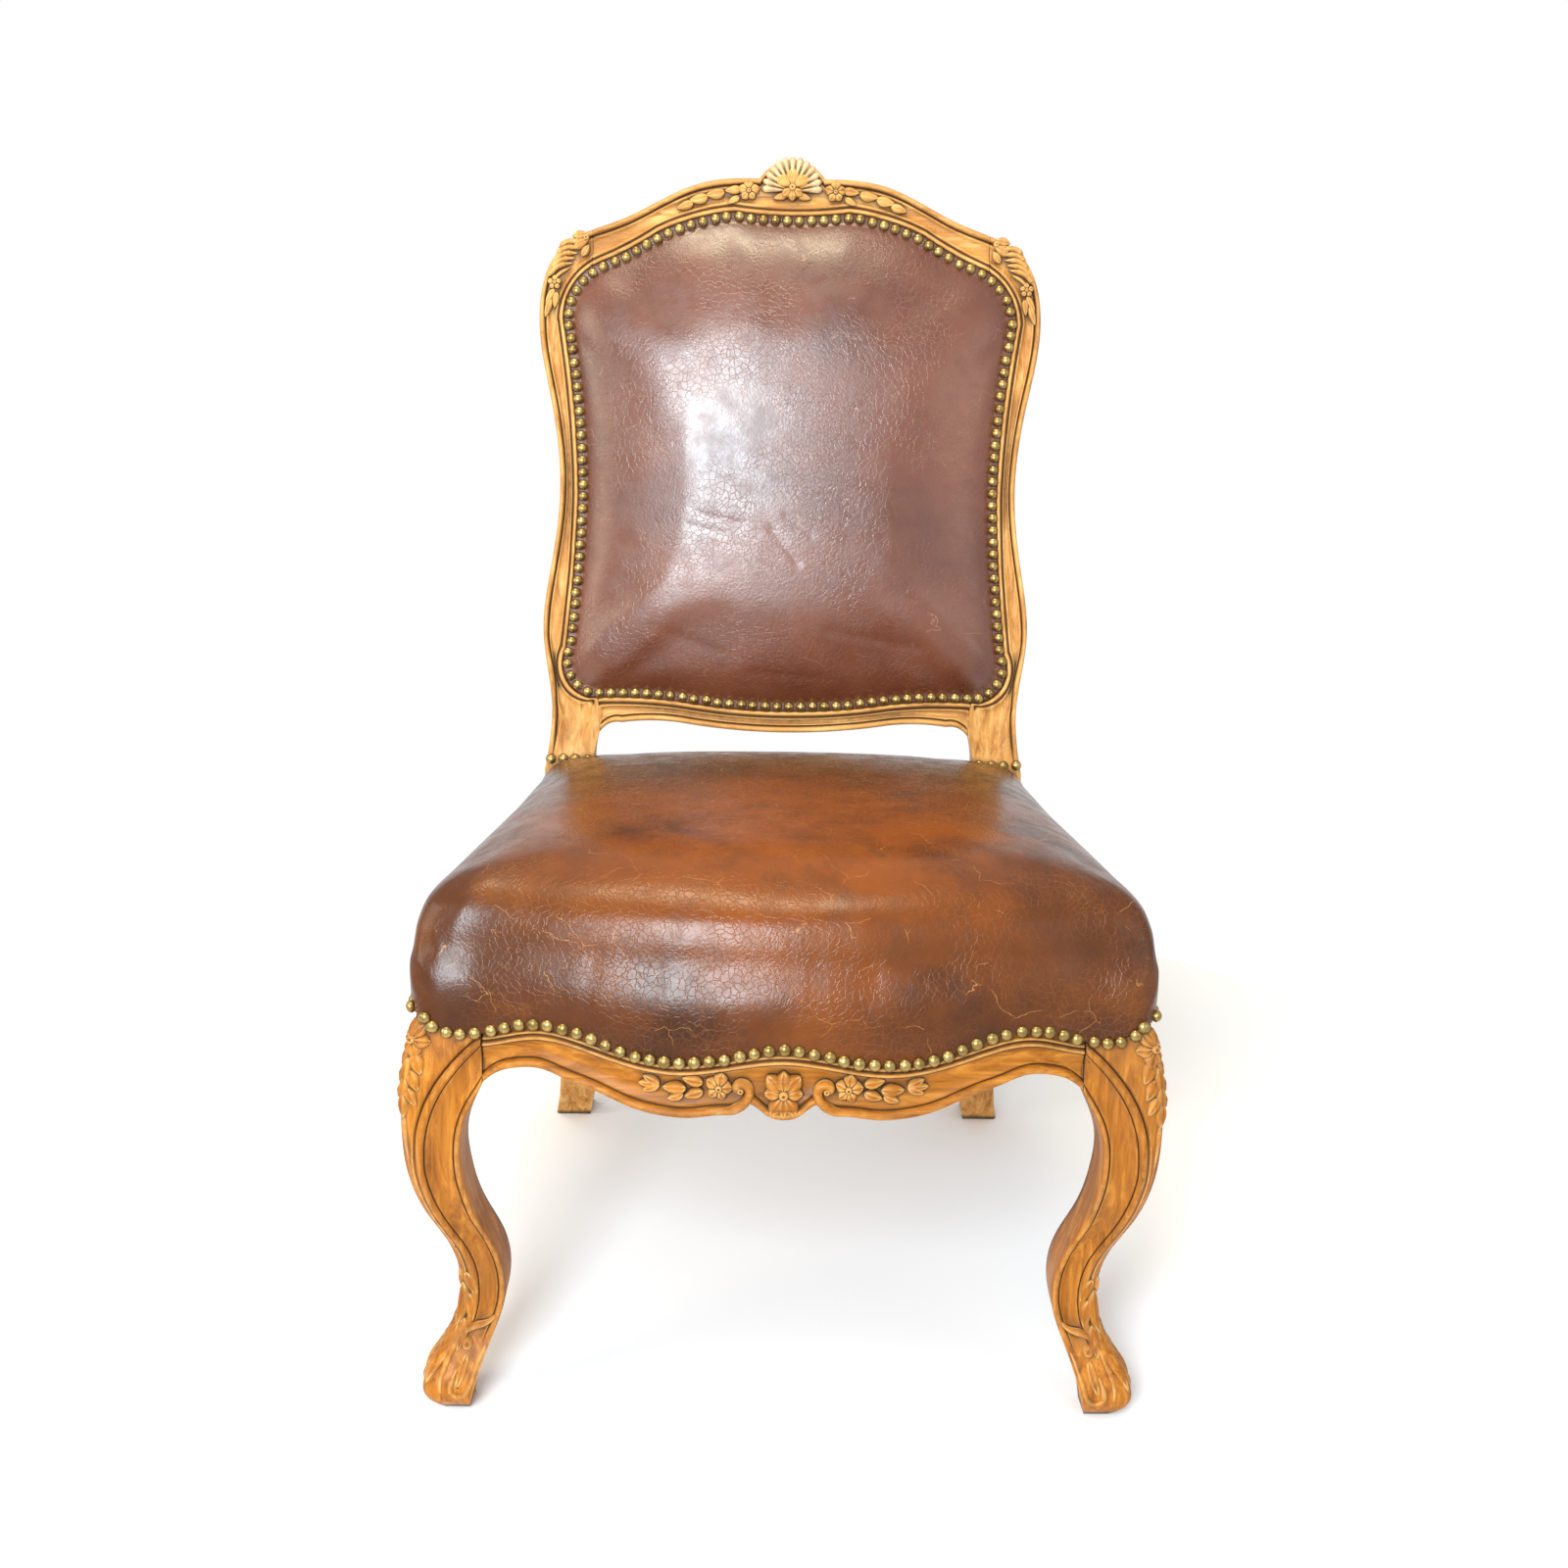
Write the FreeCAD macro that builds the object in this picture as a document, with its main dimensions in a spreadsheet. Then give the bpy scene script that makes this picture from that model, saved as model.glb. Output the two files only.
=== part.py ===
import FreeCAD, Part
import Sketcher
import math
import os
from types import SimpleNamespace
from FreeCAD import Placement, Rotation, Vector

# Side chair with a moulded and carved wooden frame, a leather seat and a leather back held by
# brass nails. Millimetres, +Z up, +Y to the back of the chair, +X to the right as seen from
# the front. The origin is on the floor under the middle of the chair.

SIZES = (
    # Main sizes.
    ("rail_top", 365, "top of the seat rails above the floor"),
    ("front_joint_half", 217, "joint of front leg and front rail, from the middle"),
    ("front_joint_face", 255, "front rail's face at that joint, before the origin"),
    ("back_face", 168, "front of the back posts at the seat, behind the origin"),
    ("post_half", 218, "outer faces of the back posts at the seat, from the middle"),
    ("post_width", 45, "width of the posts at the seat"),
    ("post_rise", 23, "where the posts start to lean, above the rails"),
    # Back frame.
    ("back_lean", 10.8, "degrees that the back leans"),
    ("back_thickness", 29, "thickness of the back frame"),
    ("shell_top_rise", 559, "top of the carved shell, above the rails"),
    ("sill_rise", 59, "middle of the lower rail's lower edge, above the rails"),
    ("slot_foot_rise", 33, "rounding between post and lower rail starts, above the rails"),
    ("slot_bend_rise", 47, "middle of that rounding, above the rails"),
    ("slot_bend_in", 2, "middle of that rounding, in from the posts' inner faces"),
    ("nail_crown_down", 52, "back nails in the middle, below the shell's top"),
    ("nail_sill_up", 23, "back nails in the middle, above the lower rail's edge"),
    ("rabbet_depth", 6, "step that the upholstery sits in"),
    ("rabbet_margin", 7, "step's edge outside the nails"),
    ("window_margin", 12, "opening of the frame inside the nails"),
    ("crest_tenon_drop", 15, "crest rail's tenons below its joint's top"),
    ("sill_tenon_rise", 12, "lower rail's tenons above its joint's foot"),
    ("back_tenon_height", 22, "height of the back rails' tenons"),
    ("back_tenon_length", 21, "length of the back rails' tenons"),
    # Rear legs.
    ("block_step", 4, "rear legs at the rails stand this far before the posts"),
    ("block_rise", 7, "straight part of the rear legs above the rails"),
    ("rear_block_depth", 36, "rear legs at the seat rails, front to back"),
    ("rear_block_height", 84, "straight part of the rear legs under the rails' top"),
    ("rear_calf_height", 150, "bend of the rear legs"),
    ("rear_calf_rake", 26, "how far back the bend is"),
    ("rear_calf_depth", 32, "front to back at the bend"),
    ("rear_calf_width", 36, "across at the bend"),
    ("rear_calf_in", 4, "bend inside the posts' outer faces"),
    ("rear_foot_rake", 92, "how far back the feet are"),
    ("rear_foot_depth", 34, "front to back at the floor"),
    ("rear_foot_width", 34, "across at the floor"),
    ("rear_foot_out", 4, "feet outside the posts' outer faces"),
    ("rear_foot_sweep", 0.55, "backward slope of the rear legs at the floor"),
    ("rear_foot_splay", 0.2, "sideways slope of the rear legs at the floor"),
    # Seat frame.
    ("rail_thickness", 27, "thickness of the seat rails"),
    ("rear_rail_height", 66, "height of the rear rail"),
    ("rear_rail_inset", 1, "rear rail's back before the rear legs' back"),
    ("side_rail_height", 72, "height of the side rails"),
    ("side_rail_out", 48, "side rail's outer face at the front leg, from the front joint"),
    ("side_rail_set", 11, "side rail's outer face inside the rear leg's"),
    ("leg_back", 211, "back faces of the front legs, before the origin"),
    ("joint_flat", 18, "flat joint of the front legs below the front rail's end"),
    ("front_bow", 31, "how far the front rail bows out"),
    ("front_flare", 12, "how far its face leans out, over the next height"),
    ("flare_height", 85, "height that the flare is measured over"),
    ("apron_end_drop", 86, "front rail's lower edge at the legs, below its top"),
    ("apron_arch_drop", 71, "high places of its lower edge, below its top"),
    ("apron_arch_half", 182, "high places, from the middle"),
    ("apron_slope_drop", 84, "lower edge between high and low places, below its top"),
    ("apron_slope_half", 122, "there, from the middle"),
    ("apron_mid_drop", 95, "low places of its lower edge, below its top"),
    ("apron_mid_half", 72, "low places, from the middle"),
    ("apron_notch_drop", 86, "lower edge beside the carved drop, below its top"),
    ("apron_notch_half", 24, "half width of the carved drop"),
    ("apron_tip_drop", 97, "bottom of the carved drop, below the rail's top"),
    ("tenon_thickness", 10, "thickness of all tenons"),
    ("tenon_height", 44, "height of the seat rails' tenons"),
    ("tenon_length", 24, "length of the front and side rails' tenons"),
    ("rear_tenon_length", 13, "length of the rear rail's tenons"),
    ("tenon_drop", 16, "tenons below the top of the rails"),
    ("tenon_root", 8, "tenons start this far inside their rails"),
    ("joint_gap", 0.2, "room round a tenon or a peg"),
    ("peg_radius", 3, "wooden pegs"),
    ("peg_spread", 12, "pegs above and below the middle of a tenon"),
    ("peg_stop", 6, "wood left past the end of a peg"),
    ("back_peg_length", 23, "pegs of the back's joints"),
    ("block_leg", 46, "corner blocks along the rails"),
    ("block_height", 38, "height of the corner blocks"),
    ("block_drop", 14, "blocks below the top of the rails"),
    # Upholstery.
    ("web_width", 62, "width of the seat webbing"),
    ("web_gap", 12.4, "gap between the strips of seat webbing"),
    ("web_lap", 15, "seat webbing on the front rail, past its joint's face"),
    ("web_thickness", 1.6, "thickness of all webbing"),
    ("back_web_width", 50, "width of the back webbing"),
    ("back_web_gap", 12.5, "gap between the strips of back webbing"),
    ("back_web_start", 23, "lowest strip across the back, above the lower nails"),
    ("back_layer_inset", 2, "back webbing and hessian inside the nail line"),
    ("hessian_thickness", 0.8, "thickness of the hessian"),
    ("hessian_inset", 8, "seat hessian inside the rails' outer faces"),
    ("leather_thickness", 1.5, "thickness of the leather"),
    ("soft_gap", 0.3, "room between leather, stuffing and frame"),
    ("cover_room", 1.2, "room between the leather and the legs"),
    ("seat_corner_round", 16, "rounding of the seat's front corners"),
    ("seat_edge_rise", 20, "where the seat's sides swell most, above the rails"),
    ("seat_crown_rise", 66, "top of the seat, above the rails"),
    ("seat_crown_reach", 150, "how far in from the edge the crown is level"),
    ("seat_bulge", 7, "how far the seat's sides swell"),
    ("seat_slope", 3.5, "degrees that the seat's top falls to the back"),
    ("back_crown", 25, "how far the back's leather swells forward"),
    ("back_crown_reach", 140, "how far in from the nails it is level"),
    ("back_crown_start", 5, "where the swell starts inside the nails"),
    # Nails. The front row is a wave, measured down from the rails' top.
    ("wave_mid_drop", 44, "front nails in the middle"),
    ("wave_dip_drop", 54, "front nails at their low places"),
    ("wave_dip_half", 76, "low places, from the middle"),
    ("wave_rise_drop", 37, "front nails at their high places"),
    ("wave_rise_half", 180, "high places, from the middle"),
    ("wave_notch_drop", 47, "front nails just outside the leg joint"),
    ("wave_notch_out", 9, "that place, from the joint"),
    ("wave_depth", 30, "wave ends this far before the front legs' backs"),
    ("side_nail_drop", 35, "nails at the corners and along the sides"),
    ("side_nail_start", 8, "first side nail behind the front corner"),
    ("nail_room", 1, "room between a nail head and a post"),
    ("nail_edge", 4.6, "leather past the middle of its nails"),
    ("nail_head", 9.5, "width of a nail head"),
    ("nail_dome", 3.2, "height of a nail head"),
    ("nail_pitch", 10.8, "spacing of the nails"),
)

# Places on the edge of the back frame in front view. The half width is measured from the posts'
# outer faces or from the middle, or is a share of the way from the shell's foot to the crest
# rail's joint, or a share of the half width at the slot's end. The height is measured up from the
# rails or down from the shell's top, or is a share of the way from the rails to the ear's top.
BACK_EDGE = (
    ("neck", "post", -6.5, "stile", 0.164, "narrowing just above the seat"),
    ("hip", "post", 1.5, "stile", 0.305, "lower swelling of the stiles"),
    ("lower_waist", "post", -6.5, "stile", 0.44, "between hip and waist"),
    ("waist", "post", -13, "stile", 0.5705, "waist of the back"),
    ("upper_waist", "post", -4.5, "stile", 0.728, "between waist and ear"),
    ("ear", "post", 6, "stile", 0.888, "widest place near the top"),
    ("ear_top", "post", -14, "shell", 77, "rounded corner above the ear"),
    ("shoulder", "post", -41, "shell", 62, "joint of stile and crest rail"),
    ("hollow", "crest", 0.797, "shell", 51, "hollow of the crest rail's edge"),
    ("flank", "crest", 0.5945, "shell", 36, "rising flank of the crest rail"),
    ("slope", "crest", 0.3985, "shell", 23, "slope between flank and brow"),
    ("brow", "crest", 0.2095, "shell", 17, "crest rail's edge beside the shell"),
    ("shell", "middle", 29, "shell", 16, "foot of the carved shell"),
    ("slot_corner", "post", -50, "rails", 57, "joint of stile and lower rail"),
    ("slot_turn", "post", -57, "rails", 64, "rounding of the lower rail's corner"),
    ("slot_end", "post", -70, "rails", 66, "end of that rounding"),
    ("slot_side", "slot", 0.8515, "rails", 68, "high places of the lower rail's edge"),
    ("slot_rise", "slot", 0.635, "rails", 66.5, "lower rail's edge towards its middle"),
)
EDGE_STARTS = {name: (start, level) for name, start, _, level, *_ in BACK_EDGE}

# The back's nail line, from the top down: place on the edge, and how far in and down from it.
NAIL_LINE = (
    ("brow", 10, 31.5),
    ("slope", 2, 32.5),
    ("flank", 0.5, 31),
    ("hollow", 5, 31),
    ("shoulder", 11, 31),
    ("ear_top", 13.5, 36),
    ("ear", 25.5, 11),
    ("upper_waist", 25, 7.5),
    ("waist", 20.5, 8),
    ("lower_waist", 23, 13),
    ("hip", 24.5, 13),
    ("neck", 21.5, -21.5),
    ("slot_corner", -5, -34.5),
    ("slot_end", 10, -26.5),
    ("slot_rise", 0.5, -23),
)

# Front legs, from the top down: whether the place is measured down from the rails' top or up from
# the floor, that place, the outer face from the front joint, the width of the square section, and
# the rounding of its outer corner.
FRONT_LEG = (
    ("head", "top", None, 46.5, 46.5, 12),
    ("collar", "top", 35, 48, 48, 12),
    ("brow", "top", 65, 55, 55, 12),
    ("knee", "top", 93, 60, 59, 13),
    ("shin", "top", 127, 60.4, 45.5, 12),
    ("calf", "top", 160, 57.4, 41.2, 11),
    ("bend", "floor", 163, 46, 38.4, 10),
    ("lower_bend", "floor", 129, 32, 36.3, 10),
    ("ankle", "floor", 97, 25.8, 34.5, 9),
    ("instep", "floor", 66, 30.5, 33, 9),
    ("scroll", "floor", 44, 42.5, 35.5, 9),
    ("toe", "floor", 24, 53.5, 40, 10),
    ("pad", "floor", 11, 51, 34.5, 9),
    ("sole", "floor", None, 41, 23, 6),
)
INNER_ROUND = 1 / 3  # the other corners' rounding, as a share of the outer corner's

FAR = 1000.0  # longer than the chair, for solids that cut or trim
SPARE = 10.0  # what a trimmed solid has beyond its trimmed edge
PULL = 100.0  # strength of the directions at a leg curve's ends


doc = FreeCAD.newDocument("side_chair")
sheet = doc.addObject("Spreadsheet::Sheet", "sizes")


def fill_sheet():
    """Writes every size into the sheet, with its words beside it, and reads the numbers back."""
    rows = list(SIZES)
    for name, start, across, level, height, words in BACK_EDGE:
        rows.append((f"{name}_across", across, f"{words}, half width by the {start}"))
        rows.append((f"{name}_height", height, f"{words}, height by the {level}"))
    for name, inward, down in NAIL_LINE:
        rows.append((f"nail_{name}_in", inward, f"back nails at the {name}, in from the edge"))
        rows.append((f"nail_{name}_down", down, f"back nails at the {name}, down from the edge"))
    for name, start, place, out, width, rounding in FRONT_LEG:
        if place is not None:
            rows.append((f"leg_{name}_place", place, f"front leg, {name} from the {start}"))
        rows.append((f"leg_{name}_out", out, f"front leg, outer face at the {name} from the joint"))
        rows.append((f"leg_{name}_width", width, f"front leg, width at the {name}"))
        rows.append((f"leg_{name}_round", rounding, f"front leg, rounding at the {name}"))
    for row, (alias, value, words) in enumerate(rows, 1):
        sheet.set(f"A{row}", words)
        sheet.set(f"B{row}", str(value))
        sheet.setAlias(f"B{row}", alias)
    doc.recompute()
    return SimpleNamespace(**{alias: float(sheet.get(alias)) for alias, _, _ in rows})


n = fill_sheet()
LEAN = math.radians(n.back_lean)
POST_BASE = n.rail_top + n.post_rise
POST_INNER = n.post_half - n.post_width
SHELL_TOP = n.rail_top + n.shell_top_rise
APRON_END = n.rail_top - n.apron_end_drop
COLLAR_HALF = n.front_joint_half + n.leg_collar_out
LEG_SET = n.front_joint_half - n.leg_back  # the legs' front faces, from minus their outer faces
NAIL_LEVEL = n.rail_top - n.side_nail_drop


def strips(room, width, gap):
    """How many strips of webbing fit side by side."""
    return int((room + gap) / (width + gap))


class Size:
    """A number together with the sheet formula that gives it."""

    def __init__(self, value, formula):
        self.value = float(value)
        self.formula = formula

    def join(self, other, sign, value):
        text = other.formula if isinstance(other, Size) else repr(float(other))
        return Size(value, f"({self.formula} {sign} {text})")

    def __add__(self, other):
        return self.join(other, "+", self.value + float(other))

    def __sub__(self, other):
        return self.join(other, "-", self.value - float(other))

    def __mul__(self, other):
        return self.join(other, "*", self.value * float(other))

    def __truediv__(self, other):
        return self.join(other, "/", self.value / float(other))

    def __neg__(self):
        return Size(-self.value, f"(-{self.formula})")

    def __float__(self):
        return self.value

    def root(self):
        return Size(math.sqrt(self.value), f"sqrt({self.formula})")


d = SimpleNamespace(**{alias: Size(value, f"sizes.{alias}") for alias, value in vars(n).items()})


# Helpers for bound pieces.

def polygon_sketch(body, name, height, corners):
    """A closed polygon in a level plane, with every corner bound to the sheet."""
    plane = [o for o in body.Origin.OriginFeatures if o.Role == "XY_Plane"][0]
    sketch = body.newObject("Sketcher::SketchObject", name)
    sketch.AttachmentSupport = [(plane, "")]
    sketch.MapMode = "FlatFace"
    sketch.setExpression("AttachmentOffset.Base.z", height.formula)
    points = [Vector(float(x), float(y), 0) for x, y in corners]
    count = len(points)
    for i in range(count):
        sketch.addGeometry(Part.LineSegment(points[i], points[(i + 1) % count]), False)
    for i in range(count):
        sketch.addConstraint(Sketcher.Constraint("Coincident", i, 2, (i + 1) % count, 1))
    for i, corner in enumerate(corners):
        for kind, place in zip(("DistanceX", "DistanceY"), corner):
            k = sketch.addConstraint(Sketcher.Constraint(kind, -1, 1, i, 1, float(place)))
            sketch.setExpression(f"Constraints[{k}]", place.formula)
    return sketch


def pad(body, name, low, high, corners):
    """A level slab of the body, from one height to another."""
    feature = body.newObject("PartDesign::Pad", name)
    feature.Profile = polygon_sketch(body, name + "_outline", low, corners)
    feature.setExpression("Length", (high - low).formula)
    return feature


def box(name, low, high):
    """A bound box between two corners."""
    piece = doc.addObject("Part::Box", name)
    for side, axis, a, b in zip(("Length", "Width", "Height"), "xyz", low, high):
        piece.setExpression(side, (b - a).formula)
        piece.setExpression(f"Placement.Base.{axis}", a.formula)
    return piece


def peg(name, place, room=0):
    """A bound round peg at a place, or its hole with room round it."""
    start, direction, length = place
    piece = doc.addObject("Part::Cylinder", name)
    piece.setExpression("Radius", (d.peg_radius + room).formula)
    piece.setExpression("Height", (length + room).formula)
    piece.Placement = Placement(Vector(), Rotation(Vector(0, 0, 1), direction))
    for axis, place in zip("xyz", start):
        piece.setExpression(f"Placement.Base.{axis}", place.formula)
    return piece


def group(name, pieces):
    """Loose solids of one kind in one node."""
    node = doc.addObject("Part::Compound", name)
    node.Links = pieces
    return node


def bored(name, blank, places):
    """A bound piece with the holes of its pegs."""
    holes = [peg(f"{name}_hole_{k}", place, d.joint_gap) for k, place in enumerate(places)]
    node = doc.addObject("Part::Cut", name)
    node.Base = blank
    node.Tool = group(f"{name}_holes", holes)
    return node


def shaped(name, shape):
    """A free-form piece."""
    node = doc.addObject("Part::Feature", name)
    node.Shape = shape
    node.Placement = Placement()
    return node


# Helpers for free-form shapes.

def curve(points, start=None, end=None):
    """A smooth curve through points, with the directions at its ends where they matter."""
    spline = Part.BSplineCurve()
    if start is None:
        spline.interpolate(points)
    else:
        spline.interpolate(Points=points, InitialTangent=start, FinalTangent=end)
    return spline.toShape()


def lines(points):
    return [Part.makeLine(a, b) for a, b in zip(points, points[1:])]


def arcs(points):
    """Arcs through end, middle, end, middle, end and so on."""
    return [Part.Arc(*points[i:i + 3]).toShape() for i in range(0, len(points) - 2, 2)]


def face(edges):
    return Part.Face(Part.Wire(Part.__sortEdges__(edges)))


def mirrored(shape):
    return shape.mirror(Vector(), Vector(1, 0, 0))


def block(low, high):
    """An unbound box between two corners, for cuts."""
    return Part.makeBox(*(b - a for a, b in zip(low, high)), Vector(*low))


def rod(start, direction, length, radius):
    return Part.makeCylinder(radius, length, start, direction)


# The back frame.

def spot(name, inward=0.0, down=0.0):
    """A named place on the back's edge in front view, or one set off from it."""
    start, level = EDGE_STARTS[name]
    across = getattr(n, f"{name}_across")
    height = getattr(n, f"{name}_height")
    joint = n.post_half + n.shoulder_across
    half = {"middle": across, "post": n.post_half + across,
            "crest": n.shell_across + across * (joint - n.shell_across),
            "slot": across * (n.post_half + n.slot_end_across)}[start]
    z = {"rails": n.rail_top + height, "shell": SHELL_TOP - height,
         "stile": n.rail_top + height * (n.shell_top_rise - n.ear_top_height)}[level]
    return Vector(half - inward, 0, z - down)


def back_y(z, depth=0.0):
    """Place of a plane behind the back's leaning front face, at a height."""
    return n.back_face + (z - POST_BASE) * math.tan(LEAN) + depth / math.cos(LEAN)


BACK_NORMAL = Vector(0, -math.cos(LEAN), math.sin(LEAN))
BLOCK_FRONT = n.back_face - n.block_step
BLOCK_BACK = BLOCK_FRONT + n.rear_block_depth
BLOCK_TOP = n.rail_top + n.block_rise
BLOCK_BOTTOM = n.rail_top - n.rear_block_height
CREST_JOINT = spot("shoulder").x
SILL_JOINT = spot("slot_corner").x


def side_profile():
    """The rear legs and back seen from the side: straight at the seat rails, leaning above
    and sweeping back below."""
    top = SHELL_TOP + SPARE
    down = Vector(0, 0, -PULL)
    sweep = Vector(0, n.rear_foot_sweep * PULL, -PULL)
    calf = BLOCK_FRONT + n.rear_calf_rake
    foot = BLOCK_FRONT + n.rear_foot_rake
    front_leg = curve(
        [Vector(0, BLOCK_FRONT, BLOCK_BOTTOM), Vector(0, calf, n.rear_calf_height), Vector(0, foot, 0)],
        down, sweep)
    back_leg = curve(
        [Vector(0, BLOCK_BACK, BLOCK_BOTTOM),
         Vector(0, calf + n.rear_calf_depth, n.rear_calf_height),
         Vector(0, foot + n.rear_foot_depth, 0)],
        down, sweep)
    upper = lines([
        Vector(0, BLOCK_FRONT, BLOCK_BOTTOM), Vector(0, BLOCK_FRONT, BLOCK_TOP),
        Vector(0, back_y(POST_BASE), POST_BASE), Vector(0, back_y(top), top),
        Vector(0, back_y(top, n.back_thickness), top),
        Vector(0, back_y(POST_BASE, n.back_thickness), POST_BASE),
        Vector(0, BLOCK_BACK, BLOCK_TOP), Vector(0, BLOCK_BACK, BLOCK_BOTTOM)])
    sole = lines([Vector(0, foot, 0), Vector(0, foot + n.rear_foot_depth, 0)])
    return face([front_leg, back_leg] + upper + sole).extrude(Vector(FAR, 0, 0))


def leaning_slab(shallow, deep):
    """Everything between two depths behind the back's front face."""
    low, high = 0, FAR
    corners = [Vector(-FAR / 2, back_y(low, shallow), low), Vector(-FAR / 2, back_y(high, shallow), high),
               Vector(-FAR / 2, back_y(high, deep), high), Vector(-FAR / 2, back_y(low, deep), low)]
    return face(lines(corners + corners[:1])).extrude(Vector(FAR, 0, 0))


def front_view(edges):
    """A front-view outline driven straight back through the whole chair."""
    outline = face(edges)
    outline.translate(Vector(0, -FAR / 2, 0))
    return outline.extrude(Vector(0, FAR, 0))


def nail_outline(inset):
    """Arcs of the back's nail line in front view, drawn in evenly by an inset."""
    right = [spot(name, getattr(n, f"nail_{name}_in"), getattr(n, f"nail_{name}_down"))
             for name, *_ in NAIL_LINE]
    top = SHELL_TOP - n.nail_crown_down
    sill = n.rail_top + n.sill_rise + n.nail_sill_up
    middle = (top + sill) / 2
    across = 1 - inset / max(p.x for p in right)
    upright = 1 - inset / ((top - sill) / 2)
    points = [Vector(p.x * across, 0, middle + (p.z - middle) * upright) for p in right]
    left = [Vector(-p.x, 0, p.z) for p in reversed(points)]
    crown = Vector(0, 0, middle + (top - middle) * upright)
    foot = Vector(0, 0, middle + (sill - middle) * upright)
    return arcs(points + [foot] + left + [crown] + points[:1])


def on_back(edges, depth):
    """A front-view outline laid on the leaning plane at a depth."""
    matrix = FreeCAD.Matrix()
    matrix.A23 = math.tan(LEAN)
    matrix.A24 = back_y(0, depth)
    return Part.Wire(Part.__sortEdges__([e.transformGeometry(matrix) for e in edges]))


def frame_outline():
    """Front view of the whole back with its legs, without the opening."""
    base = Vector(n.post_half, 0, POST_BASE)
    stile = curve([base] + [spot(name) for name in (
        "neck", "hip", "lower_waist", "waist", "upper_waist", "ear", "ear_top", "shoulder")])
    crest = curve([spot(name) for name in ("shoulder", "hollow", "flank", "slope", "brow", "shell")])
    foot = spot("shell")
    shell = Part.Arc(foot, Vector(0, 0, SHELL_TOP), Vector(-foot.x, 0, foot.z)).toShape()
    slot_foot = Vector(POST_INNER, 0, n.rail_top + n.slot_foot_rise)
    slot_bend = Vector(POST_INNER - n.slot_bend_in, 0, n.rail_top + n.slot_bend_rise)
    slot = arcs([slot_foot, slot_bend] + [spot(name) for name in (
        "slot_corner", "slot_turn", "slot_end", "slot_side", "slot_rise")])
    rise = spot("slot_rise")
    sill = Part.Arc(rise, Vector(0, 0, n.rail_top + n.sill_rise), Vector(-rise.x, 0, rise.z)).toShape()
    outer_block = Vector(n.post_half, 0, BLOCK_BOTTOM)
    inner_block = Vector(POST_INNER, 0, BLOCK_BOTTOM)
    calf = n.post_half - n.rear_calf_in
    outer_foot = Vector(n.post_half + n.rear_foot_out, 0, 0)
    inner_foot = outer_foot - Vector(n.rear_foot_width, 0, 0)
    down = Vector(0, 0, -PULL)
    splay = Vector(n.rear_foot_splay * PULL, 0, -PULL)
    outer_leg = curve([outer_block, Vector(calf, 0, n.rear_calf_height), outer_foot], down, splay)
    inner_calf = Vector(calf - n.rear_calf_width, 0, n.rear_calf_height)
    inner_leg = curve([inner_block, inner_calf, inner_foot], down, splay)
    half = [stile, crest, outer_leg, inner_leg] + slot
    half += lines([base, outer_block]) + lines([slot_foot, inner_block]) + lines([outer_foot, inner_foot])
    return half + [mirrored(e) for e in half] + [shell, sill]


def back_tenon(half, low, gap):
    """Tenon at the right-hand end of a back rail, with room round it for the mortise."""
    middle = n.rabbet_depth + (n.back_thickness - n.rabbet_depth) / 2
    shallow = middle - n.tenon_thickness / 2 - gap
    deep = middle + n.tenon_thickness / 2 + gap
    bar = block((half - n.tenon_root, -FAR / 2, low - gap),
                (half + n.back_tenon_length + gap, FAR / 2, low + n.back_tenon_height + gap))
    return bar.common(leaning_slab(shallow, deep))


CREST_TENON = spot("shoulder").z - n.crest_tenon_drop - n.back_tenon_height
SILL_TENON = spot("slot_corner").z + n.sill_tenon_rise


def back_frame():
    """Crest rail, lower rail and the two rear legs, sawn from one front view and one side view."""
    blank = front_view(frame_outline()).common(side_profile().translated(Vector(-FAR / 2, 0, 0)))
    window = front_view(nail_outline(n.window_margin))
    step = front_view(nail_outline(-n.rabbet_margin)).common(leaning_slab(-FAR / 4, n.rabbet_depth))
    blank = blank.cut(window).cut(step)
    crest_zone = block((-CREST_JOINT, -FAR, spot("ear").z), (CREST_JOINT, FAR, FAR))
    sill_zone = block((-SILL_JOINT, -FAR, POST_BASE), (SILL_JOINT, FAR, spot("hip").z))
    crest = blank.common(crest_zone)
    sill = blank.common(sill_zone)
    right = blank.common(block((0, -FAR, 0), (FAR, FAR, FAR))).cut([crest_zone, sill_zone])
    for half, low in ((CREST_JOINT, CREST_TENON), (SILL_JOINT, SILL_TENON)):
        right = right.cut(back_tenon(half, low, n.joint_gap))
    ends = back_tenon(CREST_JOINT, CREST_TENON, 0)
    crest = crest.fuse([ends, mirrored(ends)])
    ends = back_tenon(SILL_JOINT, SILL_TENON, 0)
    sill = sill.fuse([ends, mirrored(ends)])
    return crest.removeSplitter(), sill.removeSplitter(), right


# The seat frame.

def front_face_y(x, z):
    """Face of the front rail, bowed in plan and leaning out towards its lower edge."""
    sag = n.front_bow
    radius = (n.front_joint_half ** 2 + sag ** 2) / (2 * sag)
    bow = math.sqrt(radius ** 2 - x ** 2) - (radius - sag)
    flare = n.front_flare * (n.rail_top - z) / n.flare_height
    return -n.front_joint_face - bow - flare


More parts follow.
